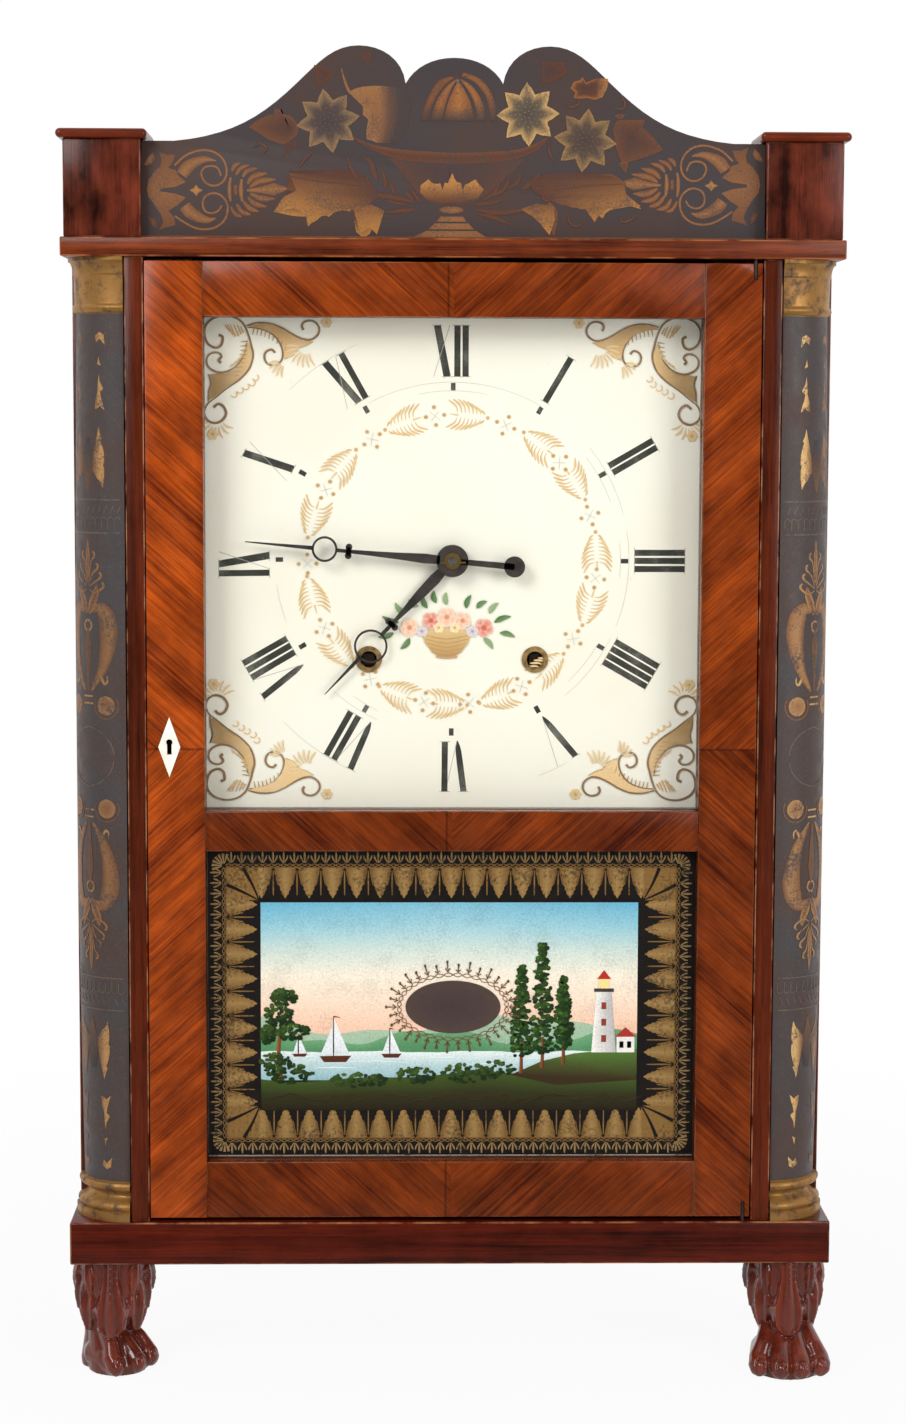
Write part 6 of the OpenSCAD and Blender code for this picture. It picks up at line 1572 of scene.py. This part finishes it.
def veneer_shade_and_seams(upper, lower, at_middle=None):
    """Darker wood toward the openings and along the seams, varied by a random cloud, and painted light and
    shade over whole sheets: the left-hand stile lightest, the lower and right-hand sheets darkest
    """
    def tone(tree):
        spot = put(tree, "TexCoord")
        parts = put(tree, "SeparateXYZ", {0: spot}).outputs
        aside = calc(tree, "ABSOLUTE", parts["X"])
        if at_middle is None:
            # Painted light and shade: the upper and lower sheets of a stile are each made lighter or darker
            # as a whole
            sheet = span(tree, parts["Z"], SEAM_HIGH - 0.001, SEAM_HIGH + 0.001, lower, upper)
            seam = calc(tree, "SUBTRACT", parts["Z"], SEAM_HIGH)
            edge = span(tree, aside, 0.1385, 0.1435, 0.72, 1)
        else:
            # Painted light and shade: the lower rails are darker than the top rail, whose right half is
            # darker than its left
            across = span(tree, parts["X"], -0.02, 0.02, upper, at_middle)
            sheet = span(tree, parts["Z"], 0.45, 0.55, lower, across)
            seam = calc(tree, "SUBTRACT", parts["X"], -0.003)
            edge = span(tree, aside, 0.135, 0.1383, 1, 0.7)
        line = span(tree, calc(tree, "ABSOLUTE", seam), 0.0002, 0.0009, 0.5, 1)
        total = calc(tree, "MULTIPLY", calc(tree, "MULTIPLY", sheet, edge), line)
        return calc(tree, "MULTIPLY", total, span(tree, noise(tree, spot, 24, 4), 0.34, 0.66, 0.74, 1.16))
    return tone


VENEER_PALE = (190, 80, 8)
VENEER_DARK = (88, 26, 0)
WORN_EDGE = (184, 116, 80)
# Painted light and shade: the left-hand stile's veneer is made lighter, the right-hand stile's and the
# rails' darker
for name, node, place, tone in (("left", "door_stile_left", slanted(True), veneer_shade_and_seams(1.16, 1.02)),
        ("right", "door_stile_right", slanted(True), veneer_shade_and_seams(0.75, 0.6)), ("rails", "door_rails",
        slanted(False), veneer_shade_and_seams(0.88, 0.53, 0.66))):
    veneer = wood("veneer_light_and_shade_" + name, VENEER_PALE, VENEER_DARK, WORN_EDGE, place=place, tone=tone,
        streaks=1.5, bands=1.1, mottle=1, gloss=0.28, coat=0.2, wear=0.7)
    worked(node, "veneered_" + name, veneer, "door", "mahogany_veneer", 0.0005)


def clear_glass():
    """Thin window glass: see-through, with a faint mirror that grows at a slant"""
    material, tree = new_material("window_glass")
    bump = raised(tree, noise(tree, put(tree, "TexCoord"), 11, 1), 0.002, 0.15)
    path = put(tree, "LightPath").outputs
    seen = calc(tree, "ADD", path["Is Camera Ray"], path["Is Glossy Ray"], use_clamp=True)
    slant = calc(tree, "MULTIPLY", put(tree, "Fresnel", {"IOR": 1.25, "Normal": bump}), seen)
    through = put(tree, "BsdfTransparent", {"Color": (0.996, 0.998, 0.994, 1)})
    mirror = put(tree, "BsdfGlossy", {"Roughness": 0.03, "Normal": bump})
    return surfaced(material, put(tree, "MixShader", {0: slant, 1: through, 2: mirror}))


glass = clear_glass()
dress("dial_glass", glass)
dress("tablet_glass", glass)
dress("glazing_beads", wood("bead_wood", (104, 54, 30), (56, 23, 12), WORN_WOOD))
bone = metal("bone", (252, 249, 240), (238, 230, 210), 0.4, 0, 120, 0.00003)
dress("escutcheon", bone)
dress("door_lock", iron)
dress("lock_bolt", iron)

# Reverse painting on the lower glass: a black ground with a border of gold leaf tongues and
# sprigs, and a lake view with a dark oval in a ring of leaves. It lies just behind the glass.
GILDING_FACE = -36.3
VIEW_FACE = -36.45
gilding = Inlay(on_front(GILDING_FACE), 0, 0)
SOOT = (24, 19, 17)
LEAF_GOLD = (190, 146, 84)
DIM_GOLD = (150, 110, 60)
PALE_GOLD = (226, 194, 136)
WEST, EAST, LOW, HIGH = -138.3, 138.3, 123.6, 301.2
gilding.band([(WEST, LOW), (WEST, HIGH)], [(EAST, LOW), (EAST, HIGH)], (SOOT, SOOT), 0)


def border_run(origin, along, inward, length, tongues, sprigs):
    """One side of the border; distances inward from the edge of the glass, in mm"""
    def at(a, d):
        return (origin[0] + along[0] * a + inward[0] * d, origin[1] + along[1] * a + inward[1] * d)

    step = length / sprigs
    gilding.lift = 0.05
    for k in range(sprigs):
        mid = step * (k + 0.5)
        for lean, reach, wide in ((0, 6.2, 1.3), (-1.9, 4.2, 1), (1.9, 4.2, 1)):
            gilding.stroke([at(mid + lean * 0.2, 8), at(mid + lean, 8 - reach * 0.6), at(mid + lean * 1.2,
                8 - reach)], (0.4, wide, 0.5), (DIM_GOLD, PALE_GOLD), fine=3)
    waves = int(length / 6.8)
    for shift in (0, pi):
        gilding.lift += 0.02
        gilding.stroke([at(length * i / (waves * 4), 9.4 + 0.8 * sin(pi * i / 2 + shift))
            for i in range(waves * 4 + 1)], (0.45,), (DIM_GOLD, LEAF_GOLD), fine=2)
    gilding.lift = 0.05
    gilding.stroke([at(0, 10.7), at(length, 10.7)], (0.4, 0.4), (DIM_GOLD, LEAF_GOLD))
    step = length / tongues
    for k in range(tongues):
        mid = step * (k + 0.5)
        edge = []
        other = []
        for i in range(15):
            t = i / 14
            half = 6.2 * (1 - t) ** 0.66 + 0.3 - (0.55 if i % 2 else 0)
            edge.append(at(mid - half, 11 + 17.2 * t))
            other.append(at(mid + half, 11 + 17.2 * t))
        gilding.band(edge, other, lambda t: (mixed(DIM_GOLD, LEAF_GOLD, t),
            mixed(LEAF_GOLD, PALE_GOLD, 0.3), mixed(DIM_GOLD, LEAF_GOLD, t)))
        if k < tongues - 1:
            join = step * (k + 1)
            for lean, depth in ((0, 26.6), (-1.7, 20.5), (1.7, 20.5)):
                gilding.stroke([at(join + lean * 0.4, 12.5), at(join + lean * 1.3, 18),
                    at(join + lean * 1.5, depth)], (0.3, 0.85, 0.5), (DIM_GOLD, LEAF_GOLD), fine=3)


WIDE = EAST - WEST
TALL = HIGH - LOW
border_run((WEST + 10.7, HIGH), (1, 0), (0, -1), WIDE - 21.4, 19, 43)
border_run((WEST + 10.7, LOW), (1, 0), (0, 1), WIDE - 21.4, 19, 43)
border_run((WEST, LOW + 10.7), (0, 1), (1, 0), TALL - 21.4, 11, 26)
border_run((EAST, LOW + 10.7), (0, 1), (-1, 0), TALL - 21.4, 11, 26)
for x, z, dx, dz in ((WEST, HIGH, 1, -1), (EAST, HIGH, -1, -1), (WEST, LOW, 1, 1), (EAST, LOW, -1, 1)):
    gilding.lift = 0.1
    corner = [(x + dx * a, z + dz * b) for a, b in ((11, 11), (29, 11), (29.5, 29.5), (11, 29))]
    gilding.shape(corner, lambda u, v: mixed(LEAF_GOLD, DIM_GOLD, 0.4))
    gilding.lift = 0.13
    for a, b in (((20.5, 11), (29.5, 29.5)), ((11, 20.5), (29.5, 29.5))):
        gilding.stroke([(x + dx * a[0], z + dz * a[1]), (x + dx * (a[0] + b[0]) / 2 + 0.6,
            z + dz * (a[1] + b[1]) / 2), (x + dx * b[0], z + dz * b[1])], (2.2, 1.4, 0.6), (SOOT, SOOT), 0)
    for k in range(7):
        way = radians(-18 + 21 * k)
        gilding.stroke([(x + dx * (9.6 - 1.2 * cos(way)), z + dz * (9.6 - 1.2 * sin(way))),
            (x + dx * (9.6 - 6.8 * cos(way)), z + dz * (9.6 - 6.8 * sin(way)))], (0.4, 1.5),
            (PALE_GOLD, LEAF_GOLD))
gilding.lift = 0.12
gilding.stroke([(WEST + 0.3, LOW + 0.5), (EAST - 0.3, LOW + 0.5)], (0.9, 0.9), ((176, 168, 160),
    (120, 108, 98)), 0)
gilding.stroke([(WEST + 0.4, LOW + 0.5), (WEST + 0.4, HIGH - 0.5)], (0.5, 0.5), ((96, 84, 76),
    (60, 50, 44)), 0)

view = Inlay(on_front(VIEW_FACE), 0, 0, shine=0)
VIEW_W, VIEW_E, VIEW_HIGH = -108, 106, 270.5
SKY = ((104, 178, 208), (150, 202, 216), (206, 222, 214), (248, 236, 216), (252, 224, 200),
    (250, 204, 176), (244, 188, 158))


def sky_tone(t):
    spot = t * (len(SKY) - 1)
    k = min(int(spot), len(SKY) - 2)
    shade_here = mixed(SKY[k], SKY[k + 1], spot - k)
    return (shade_here, mixed(shade_here, (255, 244, 228), 0.15), shade_here)


view.band([(VIEW_W, VIEW_HIGH - 84 * i / 24) for i in range(25)], [(VIEW_E, VIEW_HIGH - 84 * i / 24)
    for i in range(25)], sky_tone)


def ridge(level, swing, length, phase, foot, top, bottom, lift):
    """A strip of land or water from foot up to a wavy line"""
    count = 60
    crest_line = []
    foot_line = []
    for i in range(count + 1):
        u = VIEW_W + (VIEW_E - VIEW_W) * i / count
        crest_line.append((u, level + swing * sin(u / length + phase) + swing * 0.4
            * sin(u / length * 2.7)))
        foot_line.append((u, foot))
    view.lift = lift
    view.band(crest_line, foot_line, (top, mixed(top, bottom, 0.6), bottom))


ridge(200, 5, 26, 0.4, 182, (176, 198, 170), (150, 190, 158), 0.03)
ridge(193, 3.6, 17, 2.1, 180, (112, 166, 120), (70, 132, 84), 0.06)
ridge(184.5, 0.4, 9, 0, 168, (232, 240, 238), (150, 190, 198), 0.09)
view.lift = 0.12
for u, v, wide in ((-80, 181, 22), (-44, 178.6, 30), (-6, 180.6, 26), (22, 177, 24), (-66, 175, 26),
        (50, 180, 18)):
    view.stroke([(u - wide / 2, v), (u, v + 0.3), (u + wide / 2, v)], (0.2, 0.9, 0.2), ((248, 252, 250),
        (168, 204, 210)))
for u, v, size in ((-66, 180, 1.25), (-34, 182, 0.8), (-86, 182.4, 0.6)):
    view.lift = 0.15
    view.shape([(u - 7 * size, v + 1.6 * size), (u + 7.5 * size, v + 1.8 * size), (u + 5 * size,
        v - 1.2 * size), (u - 5 * size, v - 1.2 * size)], lambda a, b: (92, 44, 24))
    view.shape([(u - 0.4, v + 2.4 * size), (u - 0.4, v + 19 * size), (u + 6.4 * size, v + 2.8 * size)],
        lambda a, b: mixed((250, 250, 248), (206, 214, 226), 0.5 if b < v + 6 else 0))
    view.shape([(u - 1.2, v + 2.6 * size), (u - 6.2 * size, v + 3 * size), (u - 1.2, v + 16 * size)],
        lambda a, b: (232, 236, 240))
    view.stroke([(u - 0.8, v + 1.6 * size), (u - 0.8, v + 20 * size)], (0.5, 0.4), ((70, 44, 26),
        (40, 26, 16)))
    view.stroke([(u - 0.8, v + 20 * size), (u + 2.4 * size, v + 19.4 * size)], (0.9, 0.3), ((190, 40, 30),
        (150, 30, 24)))
ridge(170, 2.2, 31, 1, 150.6, (66, 88, 30), (40, 30, 14), 0.18)
view.lift = 0.21
view.shape([(34, 171), (52, 179), (70, 183.4), (90, 185.4), (106, 186), (106, 168), (60, 165)],
    lambda u, v: mixed((60, 44, 22), (84, 120, 48), clamp((v - 172) / 12)))
view.lift = 0.24
view.shape([(80, 184), (82.6, 219), (91.4, 219), (94, 184)], lambda u, v: mixed((250, 246, 238),
    (188, 184, 186), 1 if u > 89 else 0))
view.lift = 0.27


def wall(west, low, east, high, tone):
    view.shape([(west, low), (west, high), (east, high), (east, low)], lambda u, v: tone)


wall(81.4, 219, 92.6, 221, (70, 60, 56))
wall(84, 221, 90, 226.4, (252, 224, 150))
view.shape([(83, 226.4), (87, 231.6), (91, 226.4)], lambda u, v: (188, 44, 32))
for v in (190, 199.5, 209):
    wall(85.6, v, 88.4, v + 4, (150, 60, 44))
wall(94.4, 184, 104.6, 193, (238, 234, 228))
view.shape([(93.4, 193), (99.5, 198.6), (105.6, 193)], lambda u, v: (180, 48, 36))
for u in (96, 100.4):
    wall(u, 186.6, u + 2.4, 190.4, (90, 60, 56))
rng = random.Random(11)


def foliage(u, v, wide, high, count, dark, light):
    """A clump of leaf dabs, dark ones first and lighter ones toward the upper left"""
    for k in range(count):
        turn = rng.uniform(0, 2 * pi)
        reach = sqrt(rng.random())
        a = u + wide * reach * cos(turn)
        b = v + high * reach * sin(turn)
        share = clamp(0.5 * k / count + 0.35 * (b - v) / high - 0.2 * (a - u) / wide)
        view.lift = 0.3 + 0.1 * k / count
        view.disc((a, b), rng.uniform(1, 2), rng.uniform(0.8, 1.5), mixed(dark, light, share),
            mixed(dark, light, share * 0.5), 0, 7)


for u, low, high, wide in ((40, 176, 232, 5), (52, 179, 245, 5.8), (64, 181, 226, 4.6)):
    view.lift = 0.28
    view.stroke([(u, low - 4), (u + 0.3, low + 14)], (2.2, 1.2), ((150, 84, 34), (84, 44, 18)))
    for level_up in range(9):
        t = level_up / 8
        foliage(u, low + 9 + (high - low - 10) * t,
            wide * (0.5 + 0.9 * sin(pi * min(0.9, 0.25 + t * 0.62))) * (1 - 0.55 * t), 4.4, 26,
            (20, 44, 16), (96, 140, 40))
for u, v, wide, high, count in ((-100, 178, 9, 7, 60), (-92, 172, 13, 6, 60), (-20, 171, 12, 4.6, 50),
        (8, 172, 13, 5.4, 60), (-52, 168, 16, 4, 50), (26, 174, 10, 5, 50)):
    foliage(u, v, wide, high, count, (22, 46, 16), (110, 140, 46))
view.lift = 0.28
view.stroke([(-97, 168), (-98, 186), (-96, 206)], (3.4, 2.2, 1.2), ((168, 92, 40), (96, 48, 20)))
for u, v, wide, high in ((-97, 206, 9, 7), (-90, 196, 9, 5), (-104, 195, 4, 6), (-95, 216, 7, 5)):
    foliage(u, v, wide, high, 60, (20, 44, 16), (104, 136, 40))
view.lift = 0.44
for k in range(26):
    u = -106 + 8.1 * k
    view.stroke([(u, 156 + 2.5 * sin(k)), (u + 7, 158.5 + 2 * sin(k * 1.7)), (u + 13, 157 + 2 * cos(k))],
        (0.3, 1.3, 0.3), ((78, 52, 26), (34, 36, 14)), fine=3)
view.lift = 0.4
OVAL = (1.1, 210.4)
view.disc(OVAL, 27, 15.2, (70, 56, 58), (84, 66, 60), 0, 60)
for wave in (0, pi):
    view.lift += 0.02
    rim = []
    for i in range(145):
        ripple = 1.1 * sin(18 * i * pi / 72 + wave)
        rim.append(around(OVAL, 30.6 + ripple, 18.6 + ripple, pi * i / 72))
    view.stroke(rim, (0.42,), ((110, 74, 46), (134, 96, 62)), fine=2)
view.lift = 0.46
for k in range(34):
    way = 2 * pi * k / 34
    root = Vector((OVAL[0] + 31.6 * cos(way), OVAL[1] + 19.6 * sin(way)))
    aim = Vector((cos(way) / 31, sin(way) / 19)).normalized()
    side_way = Vector((-aim.y, aim.x))
    tall = 5.6 if k % 2 else 3.8
    view.stroke([root, root + aim * tall], (0.3, 0.8), ((122, 84, 50), (96, 66, 40)))
    view.disc(root + aim * (tall + 0.8), 0.7, 1, (110, 76, 44), (96, 64, 40), 0, 7)
    for hand in (1, -1):
        view.stroke([root + aim * 0.6, root + aim * tall * 0.5 + side_way * hand * 1.4], (0.3, 0.7),
            ((122, 84, 50), (96, 66, 40)))
gilding.lay_down("tablet_border", powder("tablet_leaf", tint(30, 24, 20), 0.75, 520, 0.55, 0.38), "door",
    "painted_glass")
view.lay_down("tablet_view", powder("tablet_colours", tint(60, 48, 40), 0.12, 900, 0, 0.45, 0.2), "door",
    "painted_glass")
